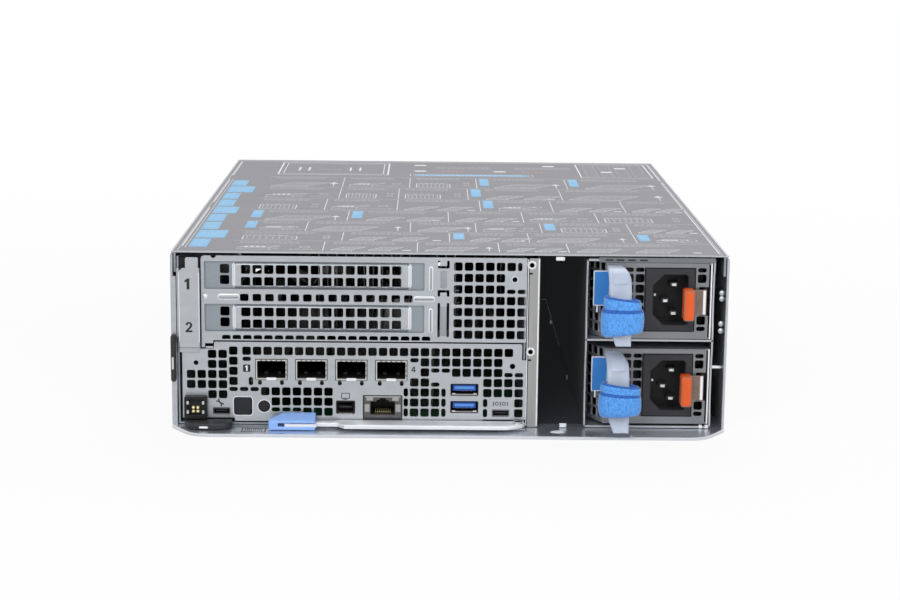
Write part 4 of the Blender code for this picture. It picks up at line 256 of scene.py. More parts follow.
CHIP = finish("chip_resin", (30, 30, 32), 0.6, grain=0.3)
ALUMINIUM = finish("milled_aluminium", (206, 208, 210), 0.34, 1.0, stretch=(6, 1, 1))
COPPER = finish("bus_copper", (200, 128, 84), 0.30, 1.0)
LID_GREY = finish("lid_print_grey", (140, 140, 145), 0.62, drift=0.05, drift_scale=25, grain=0.12,
                  Specular_IOR_Level=0.25)
PRINT_WHITE = finish("print_pale", (236, 236, 240), 0.6, drift=0.04, Specular_IOR_Level=0.3)
PRINT_FAINT = finish("print_faint", (198, 198, 203), 0.6, drift=0.05, Specular_IOR_Level=0.3)
PRINT_SKY = finish("print_sky", (196, 224, 246), 0.6, drift=0.05, Specular_IOR_Level=0.3)
PRINT_BLUE = finish("print_blue", (134, 188, 228), 0.6, drift=0.05, Specular_IOR_Level=0.3)
PRINT_RED = finish("print_red", (196, 142, 138), 0.6, drift=0.12, drift_scale=300, Specular_IOR_Level=0.3)
PRINT_BLACK = finish("print_black", (12, 12, 14), 0.5, drift=0.05)
LABEL_BLUE = finish("rating_blue", (48, 122, 196), 0.42, drift=0.05)
LABEL_EDGE = finish("rating_edge", (226, 230, 236), 0.45, drift=0.03)
TONGUE_DEEP = finish("socket_blue", (26, 72, 160), 0.40, drift=0.05)
# A paler blue for a bar on the socket tongue: painted highlight.
TONGUE_HIGHLIGHT = finish("socket_blue_painted_highlight", (80, 142, 212), 0.40, drift=0.05)
CLEAR = finish("clear_moulding", (226, 236, 255), 0.24, grain=0.03, drift=0.03, Transmission_Weight=0.5, IOR=1.35)
# A near-black sheet put behind slots, holes and socket mouths where there is only shade: painted shade.
SHADE_FILM = finish("black_film_painted_shade", (20, 20, 23), 0.36, grain=0.02, drift=0.2, drift_scale=12)
BAY_FILM = finish("bay_film", (44, 46, 49), 0.75, grain=0.02, drift=0.1, drift_scale=12, Specular_IOR_Level=0.15,
                  Emission_Color=linear(22, 23, 25), Emission_Strength=1.0)
print("finishes:", len(bpy.data.materials))

# %% [markdown]
# ## Building blocks
# Sheet metal is an outline with holes, given a thickness. A real punched edge isn't razor sharp, so
# each sheet's front edges are eased by a small slope: that slope catches the light round every hole.

# %% Outlines


def rect(left, right, low, high):
    """The corners of a rectangle."""
    return [(left, low), (right, low), (right, high), (left, high)]


def rounded(left, right, low, high, radius, steps=3):
    """A rectangle with round corners."""
    points = []
    centres = ((right - radius, high - radius), (left + radius, high - radius),
               (left + radius, low + radius), (right - radius, low + radius))
    for quarter, (u, v) in enumerate(centres):
        for step in range(steps + 1):
            angle = math.pi / 2 * (quarter + step / steps)
            points.append((u + radius * math.cos(angle), v + radius * math.sin(angle)))
    return points


def disc(u, v, radius, sides=24):
    """A round outline."""
    return [(u + radius * math.cos(2 * math.pi * i / sides), v + radius * math.sin(2 * math.pi * i / sides))
            for i in range(sides)]


def cornered(points, radius, steps=4):
    """An outline whose corners are rounded by a radius, or by each corner's own."""
    result = []
    for index, (u, v) in enumerate(points):
        here = Vector((u, v))
        own = radius[index] if isinstance(radius, (list, tuple)) else radius
        before = Vector(points[index - 1]) - here
        after = Vector(points[(index + 1) % len(points)]) - here
        if own <= 0:
            result.append((u, v))
            continue
        half_angle = before.angle(after) / 2
        reach = min(own / math.tan(half_angle), before.length * 0.49, after.length * 0.49)
        first, last = here + before.normalized() * reach, here + after.normalized() * reach
        for step in range(steps + 1):
            t = step / steps
            point = first * (1 - t) ** 2 + here * 2 * t * (1 - t) + last * t ** 2
            result.append((point.x, point.y))
    return result


def grown(outline, by):
    """The outline moved outward everywhere by a distance, or inward if it is negative."""
    area = sum(a[0] * b[1] - b[0] * a[1] for a, b in zip(outline, outline[1:] + outline[:1]))
    sign = 1 if area > 0 else -1
    result = []
    for index, point in enumerate(outline):
        here = Vector(point)
        ahead = (Vector(outline[(index + 1) % len(outline)]) - here).normalized()
        back = (here - Vector(outline[index - 1])).normalized()
        out_a = Vector((ahead.y, -ahead.x)) * sign
        out_b = Vector((back.y, -back.x)) * sign
        bisector = (out_a + out_b) / max(1 + out_a.dot(out_b), 0.3)
        result.append(tuple(here + bisector * by))
    return result


def to_x(u, v, w):
    """Outline in Y and Z, thickness along X."""
    return (w, u, v)


def to_y(u, v, w):
    """Outline in X and Z, thickness along Y."""
    return (u, w, v)


def to_z(u, v, w):
    """Outline in X and Y, thickness along Z."""
    return (u, v, w)


# %% The mesh builder


class Piece:
    """Gathers faces in several finishes, then becomes one object."""

    def __init__(self, name):
        self.name = name
        self.points = []
        self.faces = []
        self.finishes = []
        self.slots = []

    def slot(self, material):
        """The number of a finish on this piece."""
        if material not in self.slots:
            self.slots.append(material)
        return self.slots.index(material)

    def ring(self, points):
        """Adds points and gives their numbers."""
        start = len(self.points)
        self.points += [tuple(p) for p in points]
        return list(range(start, len(self.points)))

    def face(self, corners, material):
        """Adds one face."""
        self.faces.append(corners)
        self.finishes.append(self.slot(material))

    def strip(self, near, far, material, closed=True):
        """Joins two rings with four-sided faces."""
        count = len(near)
        for i in range(count if closed else count - 1):
            j = (i + 1) % count
            self.face([near[i], near[j], far[j], far[i]], material)

    def skin(self, rings, material, foot=True, top=True):
        """Joins a row of rings into one skin; foot and top say which ends get a face."""
        previous = None
        for points in rings:
            current = self.ring(points)
            if previous:
                self.strip(previous, current, material)
            elif foot:
                self.face(current, material)
            previous = current
        if top:
            self.face(previous, material)

    def rings_at(self, loops, place, w):
        """The rings of several outlines at one depth."""
        return [self.ring([place(u, v, w) for u, v in loop]) for loop in loops]

    def walls(self, near, far, material):
        """Joins each ring to its fellow, and gives the far ones."""
        for a, b in zip(near, far):
            self.strip(a, b, material)
        return far

    def fill(self, loops, place, w, material):
        """Closes an outline with holes at one depth; gives the rings of points it made."""
        rings = self.rings_at(loops, place, w)
        numbers = [n for ring in rings for n in ring]
        flat = [[Vector((p[0] * 1000, p[1] * 1000, 0)) for p in loop] for loop in loops]
        for triangle in tessellate_polygon(flat):
            self.face([numbers[i] for i in triangle], material)
        return rings

    def plate(self, outline, holes, place, near, far, material, ease=0.0, back_ease=0.0):
        """A sheet from near to far along the place's third direction, with eased front and back edges."""
        def narrowed(by):
            return [grown(outline, -by)] + [grown(hole, by) for hole in holes]

        loops = [outline] + list(holes)
        sign = 1 if far > near else -1
        rings = self.fill(narrowed(ease) if ease else loops, place, near, material)
        if ease:
            rings = self.walls(rings, self.rings_at(loops, place, near + sign * ease), material)
        if back_ease:
            rings = self.walls(rings, self.rings_at(loops, place, far - sign * back_ease), material)
            loops = narrowed(back_ease)
        self.walls(rings, self.fill(loops, place, far, material), material)

    def flat(self, outline, place, w, material):
        """A flat patch, such as a print."""
        self.fill([outline], place, w, material)

    def dome(self, outline, place, base, height, ease, material, steps=3):
        """A pressed bead: the outline rises to a flat top through a rounded slope."""
        rings = [[place(u, v, base) for u, v in outline]]
        for step in range(1, steps + 1):
            angle = math.pi / 2 * step / steps
            inset = grown(outline, -ease * (1 - math.cos(angle)))
            rings.append([place(u, v, base + height * math.sin(angle)) for u, v in inset])
        self.skin(rings, material, foot=False)

    def lathe(self, centre, profile, axis, material, sides=24):
        """Turns a profile of (radius, distance) pairs round an axis through a centre."""
        centre, axis = Vector(centre), Vector(axis).normalized()
        across = axis.orthogonal().normalized()
        other = axis.cross(across)
        self.skin([[
            centre + axis * distance
            + (across * math.cos(2 * math.pi * i / sides) + other * math.sin(2 * math.pi * i / sides)) * radius
            for i in range(sides)] for radius, distance in profile], material, foot=False, top=False)

    def head(self, centre, profile, material, sides=24, axis=(0, -1, 0)):
        """A turned head that faces the front; its profile is in millimetres."""
        self.lathe(centre, [(radius * mm, distance * mm) for radius, distance in profile], axis, material, sides)

    def block(self, low, high, material, ease=0.0):
        """A box with eased edges on its front and back."""
        self.plate(rect(low[0], high[0], low[2], high[2]), [], to_y, low[1], high[1], material, ease, ease)

    def object(self, body, replaces=(), slot=None, smooth=40):
        """Makes the object, with its faces turned outward, and lets it ride on its body."""
        mesh = bpy.data.meshes.new(self.name)
        mesh.from_pydata(self.points, [], self.faces)
        for material in self.slots:
            mesh.materials.append(material)
        mesh.polygons.foreach_set("material_index", self.finishes)
        settle(bpy.data.objects.new(self.name, mesh), body, replaces, smooth)


def settle(piece, body, replaces, smooth=40, bevel=0.0):
    """Cleans a piece's mesh, eases its edges, and hands it to its body."""
    mesh = piece.data
    work = bmesh.new()
    work.from_mesh(mesh)
    bmesh.ops.remove_doubles(work, verts=work.verts, dist=1e-6)
    bmesh.ops.recalc_face_normals(work, faces=work.faces)
    work.to_mesh(mesh)
    work.free()
    scene.collection.objects.link(piece)
    if bevel:
        edge = piece.modifiers.new("eased_edges", "BEVEL")
        edge.width = bevel
        edge.segments = 3
        edge.limit_method = "ANGLE"
        edge.angle_limit = math.radians(35)
        edge.use_clamp_overlap = True
        graph = bpy.context.evaluated_depsgraph_get()
        eased = bpy.data.meshes.new_from_object(piece.evaluated_get(graph))
        piece.modifiers.clear()
        piece.data = eased
        mesh = eased
    mesh.shade_smooth()
    mesh.set_sharp_from_angle(angle=math.radians(smooth))
    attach(piece, body)
    if replaces:
        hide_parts(*replaces)


def eased_copy(node, material, body, bevel):
    """A copy of a solid with rounded edges, which stands for it."""
    mesh = nodes[node].data.copy()
    work = bmesh.new()
    work.from_mesh(mesh)
    bmesh.ops.remove_doubles(work, verts=work.verts, dist=1e-6)
    bmesh.ops.dissolve_limit(work, angle_limit=math.radians(1), verts=work.verts, edges=work.edges)
    work.to_mesh(mesh)
    work.free()
    mesh.materials.clear()
    mesh.materials.append(material)
    for polygon in mesh.polygons:
        polygon.material_index = 0
    piece = bpy.data.objects.new(node + "_eased", mesh)
    settle(piece, body, (node,), bevel=bevel)


def paint(material, *names):
    """Gives solids that stay in view their finish."""
    for name in names:
        mesh = nodes[name].data
        mesh.materials.clear()
        mesh.materials.append(material)

# %% [markdown]
# ## Chassis tray
# Floor, walls and front lip are one bent sheet. The lip's corners are swept round and its front edge
# is rolled under, which reads as one bright line along the bottom of the picture.

# %% Chassis tray
LEFT, RIGHT, DEPTH = -135 * mm, 135 * mm, 355 * mm
WALL, WALL_TOP = 1.2 * mm, 85.5 * mm
LIP_FRONT, LIP_BACK = -18.4 * mm, -1.9 * mm
LIP_CORNER = 11.5 * mm
SIDE_HOLES = [(y * mm, z * mm) for y in (45, 305) for z in (20.5, 66.5)]
BAY_HOLE = (52.9 * mm, -8.4 * mm)

tray = Piece("tray_sheet")
lip = [(LEFT, 0.5 * mm), (LEFT, LIP_BACK), (LEFT + LIP_CORNER, LIP_FRONT), (RIGHT - LIP_CORNER, LIP_FRONT),
       (RIGHT, LIP_BACK), (RIGHT, 0.5 * mm)]
lip = cornered(lip, [0, 9 * mm, 14 * mm, 14 * mm, 9 * mm, 0], 6)
oval = [(BAY_HOLE[0] + 3.6 * mm * math.cos(a / 12 * math.pi), BAY_HOLE[1] + 2.5 * mm * math.sin(a / 12 * math.pi))
        for a in range(24)]
round_holes = [disc(34.4 * mm, -14.2 * mm, 0.9 * mm, 12), disc(88.5 * mm, -15.2 * mm, 1.1 * mm, 16)]
# The lip's top is the lighter zinc: painted reflection.
tray.plate(lip, [oval] + round_holes, to_z, WALL, 0, ZINC_LIP_REFLECTION, 0.15 * mm)
# The floor of the same bent sheet is the darker zinc: painted shade.
tray.plate(rect(LEFT, RIGHT, 0.5 * mm, DEPTH), [], to_z, WALL, 0, ZINC_DULL_SHADE)
for x, sign in ((LEFT, 1), (RIGHT, -1)):
    holes = [disc(y, z, 2.25 * mm) for y, z in SIDE_HOLES]
    tray.plate(rect(0, DEPTH, 0, WALL_TOP), holes, to_x, x, x + sign * WALL, ZINC, 0.12 * mm, 0.12 * mm)
HEM_LEFT, HEM_RIGHT, HEM_TOP, HEM_LENGTH = -133.9 * mm, -132.2 * mm, 75 * mm, 8 * mm
tray.plate(rect(0, HEM_LENGTH, WALL - 0.1 * mm, HEM_TOP), [], to_x, HEM_RIGHT, HEM_LEFT, ZINC, 0.25 * mm)
tray.object("chassis", ("chassis_tray",), "zinc")

# The rolled edge follows the lip's own outline, as a half-round bar. It is in a paler finish than the lip, partly a
# painted highlight along the edge.
roll_path = [Vector((u, v)) for u, v in lip[1:-1]]
roll = Piece("lip_roll")
previous = None
for index, point in enumerate(roll_path):
    ahead = roll_path[min(index + 1, len(roll_path) - 1)] - roll_path[max(index - 1, 0)]
    inward = Vector((-ahead.y, ahead.x)).normalized()
    section = []
    for step in range(9):
        angle = math.pi * (0.5 + step / 8)
        reach = 0.72 * mm * (1 + math.cos(angle))
        section.append((point.x + inward.x * reach, point.y + inward.y * reach,
                        0.70 * mm + 0.70 * mm * math.sin(angle)))
    ring = roll.ring(section)
    if previous:
        roll.strip(previous, ring, SATIN_AND_HIGHLIGHT, closed=False)
    previous = ring
roll.object("chassis", slot="bright_steel", smooth=60)
print("tray faces:", len(tray.faces))

# %% [markdown]
# ## Lid and its service label
# The lid is a flat sheet whose front edge is folded. One large grey label covers it: thin pale
# frames, small line drawings and blue tabs. This design is a plain one of the same colours and
# scale, made of frames, arrows, rings and slots. Each print is a flat patch a hair above the sheet.

# %% Lid
TOP = 86.8 * mm
PRINT_LIFT = 0.04 * mm
lid = Piece("lid_sheet")
lid_low, lid_face = 86.3 * mm, TOP - PRINT_LIFT
LID_FRONT = 1.8 * mm
lid.plate(cornered(rect(LEFT, RIGHT, LID_FRONT, DEPTH), 1.2 * mm), [], to_z, lid_face, lid_low, ZINC, 0.15 * mm)
# The lid's side flanges are the darker zinc: painted shade.
for x in (LEFT + 1.5 * mm, RIGHT - 2.5 * mm):
    lid.plate(rect(LID_FRONT, DEPTH, 76.8 * mm, lid_low + 0.1 * mm), [], to_x, x, x + 1 * mm, ZINC_DULL_SHADE)
lid.object("chassis", ("top_cover",), "zinc")
MARGIN = 1.0 * mm
field = Piece("label_field")
field.flat(cornered(rect(LEFT + MARGIN, RIGHT - MARGIN, LID_FRONT + MARGIN, DEPTH - MARGIN), 1.5 * mm), to_z,
           TOP - 0.03 * mm, LID_GREY)
field.object("chassis", slot="cover_label")

# %% Label drawing tools
prints = Piece("label_print")
INK_HEIGHTS = {PRINT_FAINT: TOP - 0.02 * mm, PRINT_WHITE: TOP - 0.015 * mm, PRINT_RED: TOP - 0.01 * mm,
               PRINT_BLUE: TOP - 0.005 * mm, PRINT_SKY: TOP}


def bar(x0, y0, x1, y1, width, ink=PRINT_WHITE):
    """A straight stroke; places are in millimetres, and each ink has a height of its own."""
    a, b = Vector((x0, y0)), Vector((x1, y1))
    across = (b - a).normalized()
    across = Vector((-across.y, across.x)) * width / 2
    outline = [tuple((p + q) * mm) for p, q in ((a, -across), (b, -across), (b, across), (a, across))]
    prints.flat(outline, to_z, INK_HEIGHTS[ink], ink)


def line(points, width=0.45, ink=PRINT_WHITE, closed=False):
    """Strokes through a list of places."""
    ends = points[1:] + points[:1] if closed else points[1:]
    for (x0, y0), (x1, y1) in zip(points, ends):
        bar(x0, y0, x1, y1, width, ink)


def frame_line(x0, y0, x1, y1, width=0.45, ink=PRINT_WHITE):
    """The outline of a rectangle."""
    line([(x0, y0), (x1, y0), (x1, y1), (x0, y1)], width, ink, closed=True)


def patch(x0, y0, x1, y1, ink=PRINT_BLUE, radius=0.6):
    """A filled rounded rectangle."""
    prints.flat(rounded(x0 * mm, x1 * mm, y0 * mm, y1 * mm, radius * mm), to_z, INK_HEIGHTS[ink], ink)


def ring_line(x, y, radius, width=0.35, ink=PRINT_WHITE):
    """A round outline."""
    outer = disc(x * mm, y * mm, radius * mm, 16)
    prints.fill([outer, grown(outer, -width * mm)], to_z, INK_HEIGHTS[ink], ink)


def arrow(x, y, angle, length, ink=PRINT_WHITE, width=0.4):
    """A shaft with a head."""
    along = Vector((math.cos(math.radians(angle)), math.sin(math.radians(angle))))
    across = Vector((-along.y, along.x)) * length * 0.16
    tail = Vector((x, y))
    neck, tip = tail + along * length * 0.7, tail + along * length
    bar(*tail, *neck, width, ink)
    prints.flat([tuple(p * mm) for p in (neck - across, tip, neck + across)], to_z, INK_HEIGHTS[ink], ink)


def notes(x, y, wide, rows, ink=PRINT_FAINT, height=0.55, step=1.9):
    """Rows of short dashes that stand for fine print, without letters."""
    for row in range(rows):
        here = x
        while here < x + wide:
            length = chance.uniform(0.9, 3.2)
            bar(here, y - row * step, here + length, y - row * step, height, ink)
            here += length + 0.8


def tray_drawing(x, y, wide, deep, rungs):
    """A shallow tray in slanted projection, with rungs across it and a row of cells at its front."""
    lean = deep * 0.8
    line([(x, y), (x + wide, y), (x + wide + lean, y + deep), (x + lean, y + deep)], closed=True)
    for rung in range(1, rungs):
        foot = x + wide * rung / rungs
        bar(foot, y, foot + lean, y + deep, 0.36, PRINT_FAINT)
    for share in (0.35, 0.7):
        bar(x + lean * share, y + deep * share, x + wide + lean * share, y + deep * share, 0.6, PRINT_FAINT)
    line([(x, y), (x, y - 1.8), (x + wide, y - 1.8), (x + wide, y)], 0.5)


def lifted_board(x, y, wide, deep):
    """A board that is lifted out of its seat: two slanted sheets and the strokes that join them."""
    lean = deep * 0.6
    for rise, ink in ((0, PRINT_FAINT), (deep * 0.75, PRINT_WHITE)):
        line([(x, y + rise), (x + wide, y + rise), (x + wide + lean, y + rise + deep * 0.5),
              (x + lean, y + rise + deep * 0.5)], 0.5, ink, closed=True)
    for px in (x, x + wide):
        bar(px, y, px, y + deep * 0.75, 0.35, PRINT_FAINT)
    for mark in range(4):
        patch(x + wide * (0.2 + 0.18 * mark), y + deep * 0.88, x + wide * (0.2 + 0.18 * mark) + 2.0, y + deep * 1.08,
              PRINT_WHITE, 0.3)


# %% Label layout
chance = random.Random(7)
frame_line(-132, 4.4, 132, 351, 0.45, PRINT_FAINT)
SHELVES = (6, 36, 66, 100, 138, 182, 228, 274)
for low in SHELVES[1:]:
    bar(-108, low, 130, low, 0.5, PRINT_FAINT)
for low, high in zip(SHELVES, SHELVES[1:]):
    tall, left = high - low, -108
    while left < 125:
        right = left + chance.choice((34, 40, 46, 54))
        right = 130 if right > 100 else right
        wide, kind = right - left, chance.randrange(4)
        if left > -108:
            bar(left, low + 1.5, left, high - 1.5, 0.4, PRINT_WHITE)
        x, y = left + 4, low + 4
        if chance.random() < 0.28:
            patch(x - 2, low + tall * 0.3, x + 3.6, high - 2)
            notes(x - 1, high - 5, 3, 3, PRINT_SKY, 0.7, 4)
            x += 6.5
        notes(x, high - 3, (right - x) * 0.7, 3, height=0.7, step=2.4)
        deep = tall * 0.34
        if kind == 0:
            tray_drawing(x, y + 1, wide * 0.45, deep, 7)
            arrow(left + wide * 0.88, y, 90, tall * 0.4)
        elif kind == 1:
            lifted_board(x, y, wide * 0.34, deep * 0.8)
            ring_line(left + wide * 0.8, low + tall * 0.40, 2.6)
            notes(left + wide * 0.64, low + tall * 0.2, wide * 0.25, 2)
        elif kind == 2:
            frame_line(x, y, x + wide * 0.5, y + deep)
            for slot in range(8):
                bar(x + wide * (0.04 + 0.06 * slot), y + 1.5, x + wide * (0.04 + 0.06 * slot), y + deep - 1.5, 0.4,
                    PRINT_FAINT)
            notes(x, y + deep + 2.4, wide * 0.4, 1, PRINT_WHITE, 0.8)
            ring_line(left + wide * 0.85, low + tall * 0.3, 1.8)
            ring_line(left + wide * 0.85, low + tall * 0.5, 1.8)
        else:
            tray_drawing(x, y + 1, wide * 0.22, deep * 0.8, 4)
            tray_drawing(x + wide * 0.4, y + 1, wide * 0.22, deep * 0.8, 4)
            patch(left + wide * 0.84, y, left + wide * 0.84 + 4.4, y + 1.8, PRINT_WHITE, 0.8)
        left = right
print("label patches:", len(prints.faces))

# %% Label colour marks
for index in range(9):
    low = 16 + index * 27
    wide = (9, 15, 9, 9, 13, 9, 9, 15, 9)[index]
    patch(-128, low, -128 + wide, low + 24)
    notes(-126.5, low + 21, wide - 4, 4, PRINT_SKY, 0.6, 4.5)
bar(-129.4, 14, -129.4, 262, 0.5, PRINT_FAINT)
patch(-20, 284, 52, 290, PRINT_BLUE, 2.0)
notes(-17, 287, 64, 1, PRINT_SKY, 2.4)
frame_line(-22, 282, 54, 292, 0.4)
frame_line(-104, 286, -36, 342, 1.0)
frame_line(-101, 290, -39, 338, 0.5)
for x in (-92, -86, -60, -54):
    bar(x, 304, x, 320, 1.2)
notes(-80, 312, 14, 2)
for x, y in ((-16, 306), (34, 306), (-16, 334), (66, 334)):
    patch(x - 4, y - 2.4, x + 4, y + 2.4, PRINT_WHITE, 2.0)
for x in (-2, 48):
    notes(x, 307, 13, 2, PRINT_RED, 1.6, 2.6)
    notes(x - 4, 326, 34, 3, PRINT_FAINT, 0.8, 3.6)
frame_line(84, 282, 128, 344, 0.8)
for row in range(6):
    for column in range(4):
        frame_line(88 + column * 10, 288 + row * 9, 95 + column * 10, 293 + row * 9, 0.3, PRINT_FAINT)
patch(98, 306, 105, 311, PRINT_WHITE, 0.5)
patch(108, 324, 115, 329, PRINT_WHITE, 0.5)
bar(-131, 349.5, 131, 349.5, 1.0)
for y0, y1 in ((8, 150), (156, 262), (268, 348)):
    bar(131, y0, 131, y1, 0.6)
    bar(-131.2, y0 + 10, -131.2, y1 - 4, 0.6)
prints.object("chassis", slot="cover_label")

# %% [markdown]
# ## Sheet metal behind and between
# The exhaust panel, the divider and the supply cage keep their solid forms; they get their finish, and
# the two screw lugs get the bright ring that the picture shows.

# %% Rear panel, divider and cage
paint(ZINC, "rear_panel")
paint(BRUSHED, "bay_divider")
paint(COPPER, "bus_bar_low", "bus_bar_high")
paint(BLACK, "sled_power_socket", "sled_power_plug")
paint(BOARD, "power_board", "system_board", "network_card", "riser_card")
paint(BRIGHT, "cage_pin", "lever_pin")
paint(ALUMINIUM, "heat_sink")
paint(CHIP, "processor")
lugs = Piece("lug_rings")
LUG_X = 39.5 * mm
LUG_PROFILE = ((1.25, 0.3), (1.25, -0.28), (1.7, -0.42), (2.1, -0.30), (2.3, 0.2))
for z in (39.1 * mm, 81.9 * mm):
    lugs.head((LUG_X, 0, z), LUG_PROFILE, BRIGHT, axis=(0, 1, 0))
    # A small black bar below each ring: painted shade under the lug.
    lugs.block((LUG_X - 1.9 * mm, -0.2 * mm, z - 4.6 * mm), (LUG_X + 0.4 * mm, 0.2 * mm, z - 3.7 * mm), BLACK,
               0.1 * mm)
# Two thin pale strips, full height, beside the lugs: painted highlights.
for left, right in ((37.6, 38.0), (42.6, 43.3)):
    lugs.block((left * mm, -0.3 * mm, 2 * mm), (right * mm, -0.05 * mm, 84.8 * mm), SATIN_AND_HIGHLIGHT, 0.08 * mm)
lugs.object("chassis", slot="bright_steel")

# %% [markdown]
# The cage's front edge isn't straight: it dips in twice on each side so that fingers can reach the
# supplies. In the photograph the empty bay is nearly black. Here thin dark plates line it, with a faint
# constant glow that sets how dark it renders. They are an aid to the picture: nothing shows that the
# real bay has a lining, and more exact light inside the bay would be the truer way.

# %% Supply cage
CAGE_LEFT, CAGE_RIGHT, CAGE_LOW, CAGE_TOP, CAGE_BACK = 66.0 * mm, 128.3 * mm, 1.5 * mm, 85.2 * mm, 188 * mm
SHELF_LOW, SHELF_HIGH = 44.8 * mm, 45.8 * mm
cage = Piece("supply_cage")


def wavy(z, low, high):
    """How far the cage's front edge is set back at a height."""
    share = (z - low) / (high - low)
    return 1.6 * mm * max(0.0, math.sin(math.pi * (share - 0.12) / 0.76)) ** 0.6 if 0.12 < share < 0.88 else 0.0


edge = []
for low, high in ((CAGE_LOW, SHELF_LOW), (SHELF_HIGH, CAGE_TOP)):
    edge += [(wavy(low + (high - low) * i / 16, low, high), low + (high - low) * i / 16) for i in range(17)]
wall_outline = [(CAGE_BACK, CAGE_TOP), (CAGE_BACK, CAGE_LOW)] + edge
for x, inner in ((CAGE_LEFT, CAGE_LEFT + 0.8 * mm), (CAGE_RIGHT, CAGE_RIGHT - 0.9 * mm)):
    cage.plate(wall_outline, [], to_x, x, inner, ZINC, 0.1 * mm)
for low, high in ((CAGE_TOP - 1 * mm, CAGE_TOP), (SHELF_LOW, SHELF_HIGH), (CAGE_LOW, CAGE_LOW + 1 * mm)):
    cage.plate(rect(CAGE_LEFT, CAGE_RIGHT, 0, CAGE_BACK), [], to_z, low, high, ZINC, 0.1 * mm)
# The flange under the lid is the dark steel: painted shade.
FLANGE_LOW, FLANGE_HIGH = 83.7 * mm, 86.0 * mm
top_slots = [rounded(x - 1.9 * mm, x + 1.9 * mm, 84.4 * mm, 85.2 * mm, 0.3 * mm, 2)
             for x in (76.8 * mm, 82.2 * mm, 87.7 * mm, 93.4 * mm)]
cage.plate(rect(CAGE_LEFT + 5.8 * mm, CAGE_RIGHT - 0.2 * mm, FLANGE_LOW, FLANGE_HIGH), top_slots, to_y, -0.25 * mm,
           -0.02 * mm, DARK_STEEL_AND_SHADE, 0.06 * mm)
# A black patch behind the flange's slots makes them read dark: painted shade.
cage.flat(rect(CAGE_LEFT + 7 * mm, CAGE_LEFT + 31 * mm, 84.2 * mm, 85.4 * mm), to_y, -0.012 * mm, SHADE_FILM)
for x in (123.4 * mm, 126.4 * mm):
    cage.block((x - 0.8 * mm, -0.3 * mm, 1.4 * mm), (x + 0.8 * mm, 0.4 * mm, 3.2 * mm), SATIN_AND_HIGHLIGHT, 0.2 * mm)
cage.object("chassis", ("psu_cage",), "zinc")
film = Piece("bay_film")
film.plate(rect(3 * mm, 325 * mm, 2 * mm, 85 * mm), [], to_x, CAGE_LEFT - 0.25 * mm, CAGE_LEFT - 0.02 * mm, BAY_FILM)
film.plate(rect(44.0 * mm, CAGE_LEFT - 0.3 * mm, 2 * mm, 85 * mm), [], to_y, 324 * mm, 325 * mm, BAY_FILM)
film.plate(rect(3 * mm, 322 * mm, 2 * mm, 85 * mm), [], to_x, 43.9 * mm, 43.6 * mm, BAY_FILM)
film.plate(rect(44.0 * mm, CAGE_LEFT - 0.3 * mm, 7 * mm, 323 * mm), [], to_z, WALL + 0.3 * mm, WALL + 0.05 * mm,
           BAY_FILM)
film.object("chassis")

# %% [markdown]
# ## Punched and pressed sheet
# The sled's two panels are full of square holes with rounded corners. A small map says where each
# hole is: a mark for a whole hole, others for the half holes that run round the sockets. The loops
# below turn a map into outlines, and one call punches them all through the sheet.

# %% Hole maps
HOLE, FIELD_HOLE, HALF_HOLE, HOLE_ROUND = 4.1 * mm, 4.5 * mm, 2.1 * mm, 0.78 * mm
PANEL_SHEET, PANEL_EASE = 0.8 * mm, 0.10 * mm
SLIT_SHIFT = 1.0 * mm
LEFT_MAP = ("..##", "..##", "####", "####", "..##")
MIDDLE_MAP = ("#.........", "#.........", "#.........", "#.........", "---#######", "....######", "....---###")
RIGHT_MAP = ("##########################.", "-...............-########..", ".................#--#####__",
             "R...............##_....####", "...............r###l...####", "...............r###l...l..#",
             "...............r###l...l..#")
GRILLE_MAP = ("######l", "#####..", "#####__", "#######", "#######", "#######", "#######")


def square_hole(u, v, mark="#", size=HOLE):
    """One hole about a centre; half holes keep the edge that their mark names."""
    half = size / 2
    left, right, low, high = u - half, u + half, v - half, v + half
    if mark == "-":
        low = high - HALF_HOLE
    elif mark == "_":
        high = low + HALF_HOLE
    elif mark == "l":
        right = left + HALF_HOLE
    elif mark in "rR":
        right += SLIT_SHIFT if mark == "R" else 0
        left = right - HALF_HOLE
    radius = HOLE_ROUND if mark == "#" else HALF_HOLE * 0.42
    return rounded(left, right, low, high, radius, 2)


def punched(rows, start_u, start_v, step_u, step_v):
    """Every hole of a map whose first hole's centre is at the start."""
    return [square_hole(start_u + column * step_u, start_v - row * step_v, mark)
            for row, marks in enumerate(rows) for column, mark in enumerate(marks) if mark != "."]


# %% Lower panel
(io_left, _, io_low), (io_right, _, io_high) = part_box("io_panel")
SKIRT_LEFT, SKIRT_RIGHT, SKIRT_LOW = io_left + 25.3 * mm, io_left + 146.3 * mm, io_low - 1.6 * mm
(network_left, _, network_low), (network_right, _, network_high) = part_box("network_jack")
cages = [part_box(f"network_cage_{i + 1}") for i in range(4)]
bus_low, bus_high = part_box("bus_jack")
SMALL_SOCKETS = {name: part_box(name) for name in ("display_jack", "service_jack", "serial_jack")}
BUS_MOUTHS = [(1.2 * mm, low * mm, 12.8 * mm, 5.2 * mm) for low in (8.5, 17.2)]
SERVICE_SIZE, DISPLAY_SIZE, SHELL = (7.4 * mm, 2.5 * mm), (8.2 * mm, 5.6 * mm), 0.35 * mm
socket_mouths = {"display_jack": (-54.5 * mm, 7.8 * mm, *DISPLAY_SIZE),
                 "service_jack": (-114.6 * mm, 7.0 * mm, *SERVICE_SIZE),
                 "serial_jack": (21.7 * mm, 7.0 * mm, *SERVICE_SIZE)}
corner_x, corner_z, notch_x, notch_z = io_left + 15.5 * mm, io_high - 3.5 * mm, io_right - 2.6 * mm, io_high - 8 * mm
